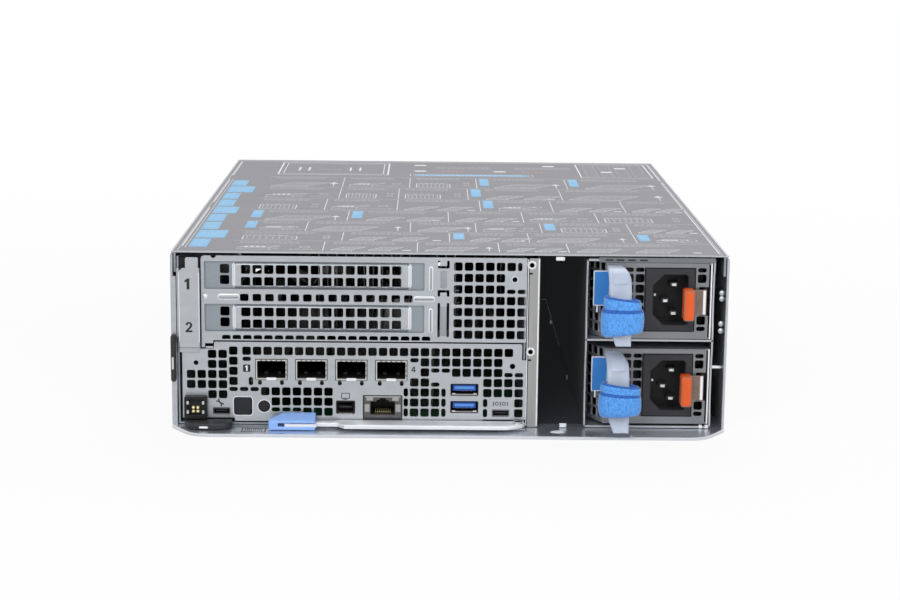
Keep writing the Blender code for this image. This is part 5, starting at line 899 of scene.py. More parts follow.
io_outline = [(io_left, io_low), (SKIRT_LEFT, io_low), (SKIRT_LEFT, SKIRT_LOW), (SKIRT_RIGHT, SKIRT_LOW),
              (SKIRT_RIGHT, io_low), (io_right, io_low), (io_right, notch_z), (notch_x, notch_z), (notch_x, io_high),
              (corner_x, io_high), (corner_x, corner_z), (io_left, corner_z)]
io_outline = cornered(io_outline, [c * mm for c in (0.4, 0.3, 0.3, 0.3, 0.3, 0.4, 0.8, 0.3, 0.8, 0.8, 0.3, 0.8)], 2)
holes = punched(LEFT_MAP, io_left + 4.25 * mm, io_high - 6.1 * mm, 5.14 * mm, 5.04 * mm)
holes += punched(MIDDLE_MAP, io_left + 24.81 * mm, io_high - 4.4 * mm, 5.14 * mm, 5.04 * mm)
holes += punched(RIGHT_MAP, io_left + 31.3 * mm, io_high - 4.4 * mm, 5.1 * mm, 5.04 * mm)
holes += [disc(-123.1 * mm, 32.3 * mm, 1.15 * mm, 16), disc(30.9 * mm, 31.7 * mm, 1.35 * mm, 20)]
for low, high in cages:
    gap = 0.3 * mm
    holes.append(rect(low[0] - gap, high[0] + gap, low[2] - gap, high[2] + gap))
    for foot in (low[0] + 1.9 * mm, high[0] - 2.4 * mm):
        holes.append(rounded(foot - 0.9 * mm, foot + 0.9 * mm, low[2] - 2.8 * mm, low[2] - 0.5 * mm, 0.75 * mm, 3))
JACK_LOW = 4.2 * mm
holes.append(rounded(network_left - gap, network_right + gap, JACK_LOW - gap, network_high + gap, 0.35 * mm, 2))
for wall, mouths in ((0.4 * mm, BUS_MOUTHS), (0.5 * mm, socket_mouths.values())):
    for x, z, wide, tall in mouths:
        holes.append(rounded(x - wall, x + wide + wall, z - wall, z + tall + wall, 0.5 * mm, 2))
power_low, power_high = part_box("power_button")
POWER_SIDE = 8.4 * mm
power_middle = ((power_low[0] + power_high[0]) / 2, (power_low[2] + power_high[2]) / 2)
id_low, id_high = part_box("id_button")
id_middle, ID_RADIUS = ((id_low[0] + id_high[0]) / 2, (id_low[2] + id_high[2]) / 2), 2.7 * mm
reach = POWER_SIDE / 2 + 0.3 * mm


def power_square(half_side, radius, steps=3):
    """A rounded square about the power button's middle."""
    x, z = power_middle
    return rounded(x - half_side, x + half_side, z - half_side, z + half_side, radius, steps)


holes.append(power_square(reach, 1.3 * mm))
holes.append(disc(*id_middle, ID_RADIUS + 0.3 * mm, 24))
panel = Piece("lower_panel")
panel.plate(io_outline, holes, to_y, 0, PANEL_SHEET, ZINC, PANEL_EASE)
power_ring = [power_square(reach + 0.42 * mm, 1.7 * mm), power_square(reach, 1.3 * mm)]
panel.fill(power_ring, to_y, -0.03 * mm, LABEL_EDGE)
panel.fill([disc(*id_middle, ID_RADIUS + 0.75 * mm, 24), disc(*id_middle, ID_RADIUS + 0.3 * mm, 24)], to_y, -0.03 * mm,
           LABEL_EDGE)
panel.object("sled", ("io_panel",), "zinc")
print("lower panel:", len(holes), "openings")

# %% [markdown]
# The upper panel is one sheet with two long windows, a row of holes on the bar between them, a row of
# half-open holes along its foot, and beads pressed into it for stiffness. A bead is a shallow rounded
# bump. The brackets behind the windows carry their own pressed fields.

# %% Upper panel
(up_left, _, foot_low), (up_right, _, up_high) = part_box("card_panel")
TOP_RISE = 0.3 * mm
up_low = foot_low + 3.5 * mm
WINDOW_LEFT, WINDOW_RIGHT = up_left + 1.7 * mm, up_left + 107.9 * mm
WINDOWS = [(up_high - 16.0 * mm, up_high - 2.5 * mm), (up_high - 36.9 * mm, up_high - 23.4 * mm)]
BAR_HEIGHT = (WINDOWS[0][0] + WINDOWS[1][1]) / 2
NOTCH_CORNERS = ((7.4, 0), (7.2, 0.7), (6.1, 1.3), (5.0, 0.7), (4.8, 0))
notch = [(up_left + u * mm, up_high - v * mm) for u, v in NOTCH_CORNERS]
foot = [(up_left, foot_low), (up_left + 1.7 * mm, foot_low), (up_left + 1.7 * mm, foot_low + 2 * mm),
        (up_left + 5.7 * mm, foot_low + 2 * mm), (up_left + 5.7 * mm, up_low)]
top = [(u, v + TOP_RISE) for u, v in [(up_right, up_high)] + notch + [(up_left, up_high)]]
up_outline = foot + [(up_right, up_low)] + top
up_outline = cornered(up_outline, [c * mm for c in (0.4, 0.2, 0.2, 0.3, 0.2, 0.4, 0.5, 0, 0.3, 0.6, 0.3, 0, 2.0)], 3)
holes = [rounded(WINDOW_LEFT, WINDOW_RIGHT, low, high, 0.5 * mm, 2) for low, high in WINDOWS]
BAR_HOLE = (2.05 * mm, 1.8 * mm)
for index in range(14):
    x, z = up_left + (20.9 + 6.1 * index) * mm, BAR_HEIGHT - 0.45 * mm
    holes.append(rounded(x - BAR_HOLE[0], x + BAR_HOLE[0], z - BAR_HOLE[1], z + BAR_HOLE[1], 0.8 * mm, 3))
for index in range(20):
    x = up_left + (12.05 + 5.1 * index) * mm
    arch = rect(x - HOLE / 2, x + HOLE / 2, up_low + 0.65 * mm, up_low + 2.7 * mm)
    holes.append(cornered(arch, [0.2 * mm, 0.2 * mm, 1.1 * mm, 1.1 * mm], 3))
TIE_LEFT, TIE_RIGHT, TIE_WIDE = -5.9 * mm, -0.3 * mm, 1.15 * mm
for low, high, open_end in ((up_low + 36.4 * mm, up_low + 40.1 * mm, 1), (up_low + 22.6 * mm, up_low + 25.7 * mm, -1)):
    far, near = (high, low) if open_end > 0 else (low, high)
    step = TIE_WIDE * open_end
    holes.append(cornered([(TIE_LEFT, near), (TIE_RIGHT, near), (TIE_RIGHT, far), (TIE_RIGHT - TIE_WIDE, far),
                           (TIE_RIGHT - TIE_WIDE, near + step), (TIE_LEFT + TIE_WIDE, near + step),
                           (TIE_LEFT + TIE_WIDE, far), (TIE_LEFT, far)], 0.3 * mm, 2))
for x in (TIE_LEFT, TIE_RIGHT - TIE_WIDE):
    holes.append(rounded(x, x + TIE_WIDE, up_low + 2.5 * mm, up_low + 19.4 * mm, 0.45 * mm, 2))
holes += punched(GRILLE_MAP, up_left + 124.25 * mm, up_high - 4.0 * mm, 5.14 * mm, 5.6 * mm)
GRILLE_SCREW = (up_left + 151.65 * mm, up_high - 10.2 * mm)
holes.append(disc(*GRILLE_SCREW, 1.2 * mm, 20))
panel = Piece("upper_panel")
panel.plate(up_outline, holes, to_y, 0, PANEL_SHEET, ZINC, PANEL_EASE)
BEADS = ((-112.3, -101.4, 63.4, 66.6), (-17.8, -7.2, 63.2, 66.2), (-10.3, -8.1, 68.8, 80.9), (-10.3, -8.1, 48.1, 60.3))
for left, right, low, high in BEADS:
    bead = rounded(left * mm, right * mm, low * mm, high * mm, min(right - left, high - low) * 0.49 * mm, 5)
    # The bead's slope is the pale finish, a painted highlight all round it; its flat top is plain zinc.
    panel.dome(bead, to_y, 0.02 * mm, -0.5 * mm, 0.45 * mm, SATIN_AND_HIGHLIGHT, 4)
    panel.dome(grown(bead, -0.5 * mm), to_y, -0.45 * mm, -0.1 * mm, 0.15 * mm, ZINC, 2)
# The two beads by the tie slots are the darker zinc: painted shade.
for low, high in ((46.6, 61.6), (70.2, 79.2)):
    panel.dome(rounded(-4.6 * mm, -1.6 * mm, low * mm, high * mm, 0.6 * mm, 2), to_y, 0.02 * mm, -0.25 * mm, 0.35 * mm,
               TIE_SHADE, 3)
screw_ring = ((1.3, -0.1), (1.35, 0.16), (1.7, 0.16), (1.85, -0.1))
panel.head((GRILLE_SCREW[0], 0, GRILLE_SCREW[1]), screw_ring, BRIGHT)
rivet = ((1.15, 0), (1.1, 0.3), (0.75, 0.52), (0.3, 0.58), (0.01, 0.58))
panel.head((-118.3 * mm, 0, 65.1 * mm), rivet, BRIGHT, 16)
panel.block((up_left + 2.0 * mm, 0.1 * mm, 39.5 * mm), (up_left + 5.8 * mm, 0.8 * mm, 40.5 * mm), ZINC, 0.1 * mm)
panel.object("sled", ("card_panel",), "zinc")
print("upper panel:", len(holes), "openings")

# %% Blanking brackets


def smooth_step(t):
    """From 0 to 1 with a soft start and a soft stop."""
    return t * t * (3 - 2 * t)


FIELD_RISE, FIELD_SLOPE, SLOPE_STEPS = 1.0 * mm, 1.5 * mm, 5
BRACKET_FRONT = 1.3 * mm
for slot, (low, high) in enumerate(WINDOWS, 1):
    bracket = Piece(f"bracket_{slot}")
    field_left, field_right = WINDOW_LEFT + 13.4 * mm, WINDOW_LEFT + 100.0 * mm
    field = rounded(field_left, field_right, low + 0.15 * mm, high - 0.15 * mm, 2.2 * mm, 4)
    lone = [square_hole(WINDOW_LEFT + 9.7 * mm, high - (3.7 + 5.4 * row) * mm, size=FIELD_HOLE) for row in range(2)]
    grid = [square_hole(field_left + (6.5 + 5.61 * column) * mm, high - (3.8 + 6.0 * row) * mm, size=FIELD_HOLE)
            for row in range(2) for column in range(14)]
    border = rect(WINDOW_LEFT - 1.4 * mm, WINDOW_RIGHT + 1.4 * mm, low - 1.4 * mm, high + 1.4 * mm)
    sides = []
    for depth in (0, PANEL_SHEET):
        base = BRACKET_FRONT + depth
        # The bracket's base sheet is the darker zinc: painted shade of the recess.
        rings = bracket.fill([border, field] + lone, to_y, base, RECESS_SHADE)
        previous = rings[1]
        for step in range(1, SLOPE_STEPS + 1):
            share = step / SLOPE_STEPS
            inset = grown(field, -FIELD_SLOPE * share)
            current = bracket.ring([to_y(u, v, base - FIELD_RISE * smooth_step(share)) for u, v in inset])
            for i in range(len(current)):
                j = (i + 1) % len(current)
                along, rise = field[j][0] - field[i][0], field[j][1] - field[i][1]
                # Each slope face takes its colour from the way it faces: the end slopes are pale, a painted highlight;
                # the upper slopes are the darker zinc, painted shade; the lower ones are plain zinc.
                slope = SATIN_AND_HIGHLIGHT if abs(rise) > abs(along) else TIE_SHADE if field[i][1] > (low + high) / 2 else ZINC
                bracket.face([previous[i], previous[j], current[j], current[i]], slope)
            previous = current
        top = bracket.fill([inset] + grid, to_y, base - FIELD_RISE, ZINC)
        sides.append([rings[0]] + rings[2:] + top[1:])
    bracket.walls(*sides, ZINC)
    bracket.object("sled", (f"slot_filler_{slot}",), "zinc", smooth=50)
print("brackets: 2")

# %% [markdown]
# ## Slot latch and small signs
# A plain plate over the ends of the two brackets, with its tab on top. Its numbers are printed: each
# is a bold outline of its own, laid flat just in front of the sheet.

# %% Signs
DIGITS = {
    "1": [[(0.26, 0), (0.52, 0), (0.52, 1), (0.34, 1), (0.08, 0.82), (0.08, 0.62), (0.26, 0.72)]],
    "2": [[(0.02, 0), (0.68, 0), (0.68, 0.18), (0.32, 0.18), (0.52, 0.38), (0.64, 0.55), (0.67, 0.71), (0.61, 0.87),
           (0.50, 0.96), (0.35, 1.0), (0.19, 0.96), (0.07, 0.86), (0.02, 0.70), (0.22, 0.67), (0.26, 0.79),
           (0.35, 0.84), (0.44, 0.79), (0.46, 0.69), (0.42, 0.58), (0.29, 0.42), (0.10, 0.22), (0.02, 0.12)]],
    "4": [[(0.42, 0), (0.61, 0), (0.61, 0.22), (0.74, 0.22), (0.74, 0.38), (0.61, 0.38), (0.61, 1), (0.39, 1),
           (0.0, 0.38), (0.0, 0.22), (0.42, 0.22)],
          [(0.42, 0.38), (0.19, 0.38), (0.42, 0.74)]],
}


def ink(name, shapes, body, front, material):
    """Printed shapes on an upright face; each is an outline and its holes, in millimetres."""
    piece = Piece(name)
    for loops in shapes:
        piece.fill([[(u * mm, v * mm) for u, v in loop] for loop in loops], to_y, front - 0.02 * mm, material)
    piece.object(body)


def digit(name, mark, x, z, height, material, body, front=0.0):
    """A printed number, centred on a place in millimetres."""
    loops = [[(x + (u - 0.36) * height, z + (v - 0.5) * height) for u, v in loop] for loop in DIGITS[mark]]
    ink(name, [loops], body, front, material)

# %% Slot latch
(latch_left, latch_front, latch_low), (latch_right, _, latch_high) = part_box("slot_latch")
TAB_LEFT, TAB_RIGHT, TAB_HEIGHT, LATCH_SHEET = -127.5 * mm, -121.3 * mm, 5.2 * mm, 1.2 * mm
shoulder = latch_high - TAB_HEIGHT
plate = [(latch_left, latch_low), (latch_right, latch_low), (latch_right, shoulder), (TAB_RIGHT, shoulder),
         (TAB_RIGHT, latch_high), (TAB_LEFT, latch_high), (TAB_LEFT, shoulder), (latch_left + 1.8 * mm, shoulder),
         (latch_left, shoulder - 1.8 * mm)]
plate = cornered(plate, [c * mm for c in (0.5, 0.5, 0.3, 0.3, 0.8, 0.8, 0.3, 0.9, 0.9)], 3)
latch = Piece("latch_plate")
latch.plate(plate, [], to_y, latch_front, latch_front + LATCH_SHEET, ZINC, 0.35 * mm, 0.1 * mm)
latch.block((latch_left + 1.1 * mm, latch_front + LATCH_SHEET - 0.1 * mm, 42.4 * mm),
            (latch_right - 1.1 * mm, 0.8 * mm, 44.6 * mm), ZINC, 0.2 * mm)
# Two thin pale bars down the plate's left and right edges: painted highlights.
for x in (latch_left + 0.12 * mm, latch_right - 0.62 * mm):
    latch.block((x, latch_front - 0.01 * mm, 43 * mm), (x + 0.5 * mm, latch_front + 0.3 * mm, shoulder - 2 * mm),
                SATIN_AND_HIGHLIGHT, 0.15 * mm)
latch.object("slot_latch", ("slot_latch",), "zinc")
digit("slot_number_1", "1", -126.3, 71.7, 5.4, PRINT_BLACK, "slot_latch", latch_front)
digit("slot_number_2", "2", -125.9, 50.5, 5.1, PRINT_BLACK, "slot_latch", latch_front)
lip_strip = Piece("latch_foot")
lip_strip.plate([(latch_left, 37.5 * mm), (-121.5 * mm, 37.5 * mm), (-121.5 * mm, 39.1 * mm), (latch_right, 39.1 * mm),
                 (latch_right, 40.0 * mm), (latch_left, 40.0 * mm)], [], to_y, -0.5 * mm, 0.1 * mm, ZINC, 0.15 * mm)
lip_strip.plate(rect(-132.1 * mm, -130.8 * mm, 45 * mm, 79 * mm), [], to_y, 0.3 * mm, 0.7 * mm, ZINC, 0.1 * mm)
lip_strip.object("sled")
# The sled's inner tray is the darker zinc: painted shade.
paint(ZINC_DULL_SHADE, "sled_tray")
paint(BLACK, "slot_latch_bracket")

# %% [markdown]
# ## Sockets
# Each socket is a thin metal shell round a dark mouth. The module cages have a row of tiny contact
# springs round their rim and one bright spring at the mouth's foot; the serial-bus sockets hold a
# blue tongue; the network jack has two light pipes above and contact slots at its sides.

# %% Module cages
CAGE_SHEET = 0.6 * mm
for number, (low, high) in enumerate(cages, 1):
    shell = Piece(f"module_cage_{number}")
    x0, x1, z0, z1 = low[0], high[0], low[2], high[2]
    mouth = rounded(x0 + CAGE_SHEET, x1 - CAGE_SHEET, z0 + CAGE_SHEET, z1 - CAGE_SHEET, 0.3 * mm, 2)
    shell.plate(rect(x0, x1, z0, z1), [mouth], to_y, low[1], 2.2 * mm, CAGE_STEEL, 0.12 * mm)
    # From 2.2 mm back the cage's walls are near black: painted shade inside the mouth.
    shell.plate(rect(x0, x1, z0, z1), [mouth], to_y, 2.2 * mm, high[1] - CAGE_SHEET, CAGE_INSIDE_SHADE)
    shell.plate(rect(x0, x1, z0, z1), [], to_y, high[1] - CAGE_SHEET, high[1], CAGE_INSIDE_SHADE)
    # Small black marks on the rim between the springs: painted shade in the gaps.
    for count in range(5):
        x = x0 + (2.6 + 2.45 * count) * mm
        shell.block((x - 0.32 * mm, low[1] - 0.03 * mm, z1 - 0.52 * mm), (x + 0.32 * mm, low[1], z1 - 0.05 * mm), SHADE_FILM)
    for count in range(3):
        z = z0 + (2.4 + 2.5 * count) * mm
        shell.block((x1 - 0.5 * mm, low[1] - 0.03 * mm, z - 0.3 * mm), (x1 - 0.1 * mm, low[1], z + 0.3 * mm), SHADE_FILM)
    middle = (x0 + x1) / 2
    tab = cornered(rect(middle - 2.4 * mm, middle + 2.4 * mm, z0 - 0.4 * mm, z0 + 1.0 * mm), 0.35 * mm, 2)
    shell.plate(tab, [], to_y, low[1] - 0.2 * mm, low[1] + 0.4 * mm, SATIN_AND_HIGHLIGHT, 0.15 * mm)
    for share in (0.28, 0.72):
        x = x0 + share * (x1 - x0)
        shell.block((x - 0.9 * mm, 9 * mm, z0 + CAGE_SHEET), (x + 0.9 * mm, 16 * mm, z0 + CAGE_SHEET + 1.1 * mm),
                    CHARCOAL, 0.2 * mm)
    # Dark blocks behind the panel's foot holes: painted shade.
    for foot in (x0 + 1.9 * mm, x1 - 2.4 * mm):
        shell.block((foot - 0.5 * mm, 1.2 * mm, z0 - 1.9 * mm), (foot + 0.5 * mm, 1.8 * mm, z0 - 0.05 * mm),
                    CAGE_INSIDE_SHADE)
    shell.object("sled", (f"network_cage_{number}",), "bright_steel")
print("module cages:", len(cages))

# %% Network jack
jack = Piece("network_socket")
front = -0.2 * mm
MOUTH = (-38.2 * mm, -26.4 * mm, 7.0 * mm, 13.6 * mm)
CLIP_STEPS = [(inset * mm, height * mm) for inset, height in ((3.0, 13.6), (3.0, 14.4), (4.4, 14.4), (4.4, 15.3))]
mouth = [(MOUTH[0], MOUTH[2]), (MOUTH[1], MOUTH[2]), (MOUTH[1], MOUTH[3])]
mouth += [(MOUTH[1] - inset, height) for inset, height in CLIP_STEPS]
mouth += [(MOUTH[0] + inset, height) for inset, height in reversed(CLIP_STEPS)]
mouth.append((MOUTH[0], MOUTH[3]))
MOUTH_DEPTH = 16 * mm
outer = rounded(network_left, network_right, JACK_LOW, network_high, 0.3 * mm, 2)
rear = rect(network_left, network_right, network_low, network_high)
mouth = cornered(mouth, 0.15 * mm, 2)
jack.plate(outer, [mouth], to_y, front, 1.2 * mm, SHIELD, 0.15 * mm)
jack.plate(rear, [mouth], to_y, 1.2 * mm, MOUTH_DEPTH, UMBER)
jack.plate(rear, [], to_y, MOUTH_DEPTH, 20.8 * mm, UMBER)
jack.block((network_left + 0.6 * mm, front - 0.12 * mm, network_high - 0.55 * mm),
           (network_right - 0.6 * mm, front, network_high - 0.2 * mm), CAGE_STEEL, 0.05 * mm)
jack.block((network_left + 0.4 * mm, front - 0.1 * mm, JACK_LOW + 0.3 * mm),
           (network_right - 0.4 * mm, front, JACK_LOW + 1.4 * mm), CHARCOAL, 0.05 * mm)
for x, sign_x in ((network_left, 1), (network_right, -1)):
    for inset, wide, low, high in ((1.4, 3.2, 14.0, 15.8), (0.5, 2.5, 8.4, 12.2)):
        near_x, far_x = x + inset * mm * sign_x, x + (inset + wide) * mm * sign_x
        lens = cornered(rect(min(near_x, far_x), max(near_x, far_x), low * mm, high * mm), 0.3 * mm, 2)
        jack.plate(lens, [], to_y, front - 0.12 * mm, front + 0.2 * mm, LENS, 0.1 * mm)
for pin in range(8):
    x = (MOUTH[0] + MOUTH[1]) / 2 + (pin - 3.5) * 1.02 * mm
    jack.block((x - 0.22 * mm, 4.2 * mm, MOUTH[2] + 0.2 * mm), (x + 0.22 * mm, 11 * mm, MOUTH[2] + 0.6 * mm), GOLD)
jack.object("sled", ("network_jack",), "dark_zinc")

# %% Serial-bus sockets
bus = Piece("bus_sockets")
BUS_SHELL, BUS_DEPTH = 0.2 * mm, 17.0 * mm
for x, z, wide, tall in BUS_MOUTHS:
    outer = rounded(x - BUS_SHELL, x + wide + BUS_SHELL, z - BUS_SHELL, z + tall + BUS_SHELL, 0.5 * mm, 3)
    bus.plate(outer, [rounded(x, x + wide, z, z + tall, 0.3 * mm, 2)], to_y, 0.1 * mm, 3 * mm, CHARCOAL, 0.12 * mm)
    # Past 3 mm the shell's inner walls are black: painted shade deep in the socket.
    bus.plate(outer, [rounded(x, x + wide, z, z + tall, 0.3 * mm, 2)], to_y, 3 * mm, BUS_DEPTH, SHADE_FILM)
    tongue_low, tongue_high = z + tall * 0.38, z + tall - 0.25 * mm
    bus.block((x + 0.7 * mm, 0.6 * mm, tongue_low), (x + wide - 0.7 * mm, BUS_DEPTH, tongue_high), TONGUE_DEEP,
              0.25 * mm)
    # A paler bar across the blue tongue: painted highlight.
    bus.block((x + 1.7 * mm, 0.5 * mm, tongue_low + 0.9 * mm), (x + wide - 1.7 * mm, 0.7 * mm, tongue_low + 2.2 * mm),
              TONGUE_HIGHLIGHT, 0.1 * mm)
    for pin in range(4):
        px = x + wide / 2 + (pin - 1.5) * 2.3 * mm
        bus.block((px - 0.6 * mm, 1.0 * mm, tongue_low - 0.08 * mm), (px + 0.6 * mm, 8 * mm, tongue_low), GOLD)
    bus.plate(rect(x + 0.6 * mm, x + wide - 0.6 * mm, z + 0.02 * mm, z + 0.3 * mm), [], to_y, 0.3 * mm, 3.2 * mm,
              CAGE_STEEL, 0.08 * mm)
    for side_x in (x + 1.2 * mm, x + wide - 1.2 * mm):
        bus.plate(rect(side_x - 0.9 * mm, side_x + 0.9 * mm, z + 0.05 * mm, z + 0.8 * mm), [], to_y, 0.25 * mm,
                  2.6 * mm, CAGE_STEEL, 0.1 * mm)
# The back behind the sockets is black too: painted shade.
bus.plate(rect(bus_low[0], bus_high[0], bus_low[2], bus_high[2]), [], to_y, BUS_DEPTH, bus_high[1], SHADE_FILM)
bus.object("sled", ("bus_jack",), "bright_steel")

# %% Small sockets
TONGUE = 0.7 * mm
for name, (x, z, wide, tall) in socket_mouths.items():
    socket = Piece(name + "_shell")
    depth = SMALL_SOCKETS[name][1][1]
    if name == "display_jack":
        mouth = cornered(rect(x, x + wide, z, z + tall), [1.6 * mm, 1.6 * mm, 0.4 * mm, 0.4 * mm], 3)
        outer = cornered(rect(x - SHELL, x + wide + SHELL, z - SHELL, z + tall + SHELL),
                         [1.9 * mm, 1.9 * mm, 0.6 * mm, 0.6 * mm], 3)
        rim, inner = CHARCOAL, UMBER
        socket.block((x + 0.8 * mm, -0.25 * mm, z - SHELL + 0.02 * mm), (x + wide - 0.8 * mm, 0.4 * mm, z - 0.1 * mm),
                     CAGE_STEEL, 0.08 * mm)
    else:
        mouth = cornered(rect(x, x + wide, z, z + tall), 0.35 * mm, 2)
        outer = cornered(rect(x - SHELL, x + wide + SHELL, z - SHELL, z + tall + SHELL), 0.7 * mm, 3)
        rim, inner = DARK_STEEL_AND_SHADE, UMBER
    socket.plate(outer, [mouth], to_y, -0.2 * mm, 1.2 * mm, rim, 0.12 * mm)
    socket.plate(outer, [mouth], to_y, 1.2 * mm, depth - SHELL, inner)
    socket.plate(outer, [], to_y, depth - SHELL, depth, inner)
    middle = z + tall / 2
    socket.block((x + wide * 0.1, 0.8 * mm, middle - TONGUE / 2), (x + wide * 0.9, depth - SHELL, middle + TONGUE / 2),
                 CHARCOAL, 0.15 * mm)
    socket.object("sled", (name,), "bright_steel")
print("small sockets:", len(socket_mouths))

# %% [markdown]
# ## Bezel connector, buttons and pictograms
# Moulded black and charcoal parts. The power button sits in a light ring, the identification button
# has a fine texture, and the square block carries four gold pins and four corner marks.

# %% Bezel connector
(block_left, block_front, block_low), (block_right, block_back, block_high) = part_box("bezel_connector")
block_x, block_z = (block_left + block_right) / 2, (block_low + block_high) / 2
PIN_RECESS = 3.8 * mm
block = Piece("bezel_block")
outline = cornered(rect(block_left, block_right, block_low, block_high - 0.5 * mm), 1.0 * mm, 3)
recess = rounded(block_x - PIN_RECESS, block_x + PIN_RECESS, block_z - PIN_RECESS, block_z + PIN_RECESS, 0.5 * mm, 2)
block.plate(outline, [recess], to_y, block_front, block_front + 2 * mm, BLACK, 0.35 * mm)
block.plate(outline, [], to_y, block_front + 2 * mm, -0.3 * mm, BLACK)
block.plate(grown(recess, -0.3 * mm), [], to_y, -0.3 * mm, block_back, BLACK)
for side_x in (-1, 1):
    for side_z in (-1, 1):
        x, z = block_x + side_x * 1.1 * mm, block_z - 1.1 * mm + side_z * 0.95 * mm
        floor_y = block_front + 2.0 * mm
        block.head((x, floor_y, z), ((0.8, 0), (0.8, 0.9), (0.6, 1.3), (0.01, 1.45)), GOLD, 12)
        x, z = block_x + side_x * 3.75 * mm, block_z + 0.1 * mm + side_z * 2.3 * mm
        block.block((x - 0.5 * mm, block_front - 0.04 * mm, z - 0.8 * mm),
                    (x + 0.5 * mm, block_front + 0.1 * mm, z + 0.8 * mm), PRINT_FAINT)
block.object("sled", ("bezel_connector",), "black_plastic")

# %% Buttons
button = Piece("power_cap")
cap = power_square(POWER_SIDE / 2, 1.2 * mm, 4)
button.plate(cap, [], to_y, power_low[1], power_high[1], GREY_PLASTIC, 0.3 * mm)
flange = rect(power_low[0], power_high[0], power_low[2], power_high[2])
button.plate(flange, [], to_y, 1.3 * mm, 2.1 * mm, GREY_PLASTIC)
button.object("power_button", ("power_button",), "charcoal_plastic")
button = Piece("id_cap")
profile = [(0.01 * mm, -id_low[1]), (ID_RADIUS - 0.35 * mm, -id_low[1]), (ID_RADIUS, -id_low[1] - 0.3 * mm),
           (ID_RADIUS, -1.3 * mm), (ID_RADIUS + 0.8 * mm, -1.3 * mm), (ID_RADIUS + 0.8 * mm, -2.1 * mm),
           (ID_RADIUS, -2.1 * mm), (ID_RADIUS, -id_high[1]), (0.01 * mm, -id_high[1])]
button.lathe((id_middle[0], 0, id_middle[1]), profile, (0, -1, 0), GREY_PLASTIC, 32)
for ring_radius, count in ((0.7, 6), (1.4, 10), (2.0, 14)):
    for index in range(count):
        angle = 2 * math.pi * index / count
        x, z = id_middle[0] + ring_radius * mm * math.cos(angle), id_middle[1] + ring_radius * mm * math.sin(angle)
        button.head((x, id_low[1] + 0.02 * mm, z), ((0.2, 0), (0.14, 0.1), (0.01, 0.12)), GREY_PLASTIC, 6)
button.object("id_button", ("id_button",), "charcoal_plastic")

# %% Pictograms


def diagonal(points, x, z):
    """A shape drawn lying down, turned to slant down to the right about a place."""
    slope = math.sqrt(0.5)
    return [(x + (s + t) * slope, z + (t - s) * slope) for s, t in points]


JAW = [(0.95, 0.42), (1.15, 0.88), (1.55, 1.0), (2.0, 0.82), (2.0, 0.38), (1.45, 0.38)]
JAW += [(s, -t) for s, t in reversed(JAW)]
spanner = [(-s, -t) for s, t in JAW] + JAW
ink("sign_service", [[diagonal(spanner, -111.6, 12.5)]], "sled", 0, PRINT_BLACK)
ink("sign_screen", [[rect(-52.5, -48.3, 14.9, 17.8), rect(-52.15, -48.65, 15.25, 17.45)],
                    [rect(-51.7, -49.5, 14.4, 14.8)]], "sled", 0, PRINT_BLACK)
serial = [[rect(x - 0.22, x + 0.22, 11.9, 14.0)] for x in (21.8, 25.2, 28.6)]
serial += [[disc(x, 13.0, 0.95, 16), disc(x, 13.0, 0.58, 12)] for x in (23.5, 26.9)]
ink("sign_serial", serial, "sled", 0, PRINT_BLACK)
ink("port_square", [[rounded(-100.3, -96.7, 27.9, 31.6, 0.5, 2)]], "sled", 0, PRINT_BLACK)
digit("port_number_1", "1", -98.5, 29.75, 2.7, LABEL_EDGE, "sled", -0.03 * mm)
digit("port_number_4", "4", -17.4, 29.8, 2.9, PRINT_BLACK, "sled")

# %% [markdown]
# ## Lever, catch, tag and clip
# The steel lever lies along the foot of the sled; its end is held by a blue grip with a window in its
# front. The black tag beside it pulls out, and a small black clip covers the left wall's front edge.

# %% Lever and tag
eased_copy("sled_lever", SATIN_AND_HIGHLIGHT, "sled_lever", 0.5 * mm)
(tag_left, tag_front, tag_low), (tag_right, tag_back, _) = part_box("information_tag")
tag = Piece("pull_tag")
TAG_BACK = -0.8 * mm
curve = [(0.0, 0.0), (0.0, 0.30), (0.05, 0.62), (0.13, 0.84), (0.25, 0.96), (0.5, 1.0), (0.75, 1.0), (0.90, 0.90),
         (0.97, 0.70), (1.0, 0.45), (1.0, 0.0)]
grip = [(tag_left + u * (tag_right - tag_left), TAG_BACK + v * (tag_front - TAG_BACK)) for u, v in curve]
GRIP_TOP = tag_low + 3.0 * mm
sections = [[to_z(u, v, tag_low) for u, v in grown(grip, -0.5 * mm)]]
for step in range(9):
    angle = math.pi * step / 8
    inset, rise = 0.5 * mm * (1 - math.sin(angle) ** 0.7), (GRIP_TOP - tag_low) * (1 - math.cos(angle)) / 2
    sections.append([to_z(u, v, tag_low + rise) for u, v in grown(grip, -inset)])
tag.skin(sections, CHARCOAL)
tag.plate(rect(tag_left + 2 * mm, tag_right - 2 * mm, TAG_BACK - 0.3 * mm, tag_back), [], to_z, 2.6 * mm, 3.6 * mm,
          CHARCOAL)
tag.plate(rounded(-120.8 * mm, -116.5 * mm, 2.2 * mm, 3.2 * mm, 0.3 * mm), [], to_y, tag_front - 0.03 * mm,
          tag_front + 0.3 * mm, PRINT_WHITE, 0.03 * mm)
tag.object("information_tag", ("information_tag",), "charcoal_plastic", smooth=60)

# %% Blue catch
eased_copy("release_latch", BLUE, "release_latch", 0.42 * mm)

# A white strip where the lever's end shows through the catch's window: painted light in place of the shade in the
# recess.
lever_end_painted_light = Piece("lever_end_painted_light")
lever_end_painted_light.block((-79.5 * mm, -10.1 * mm, 2.9 * mm), (-64.0 * mm, -9.6 * mm, 4.5 * mm), LABEL_EDGE, 0.15 * mm)
lever_end_painted_light.object("sled_lever")

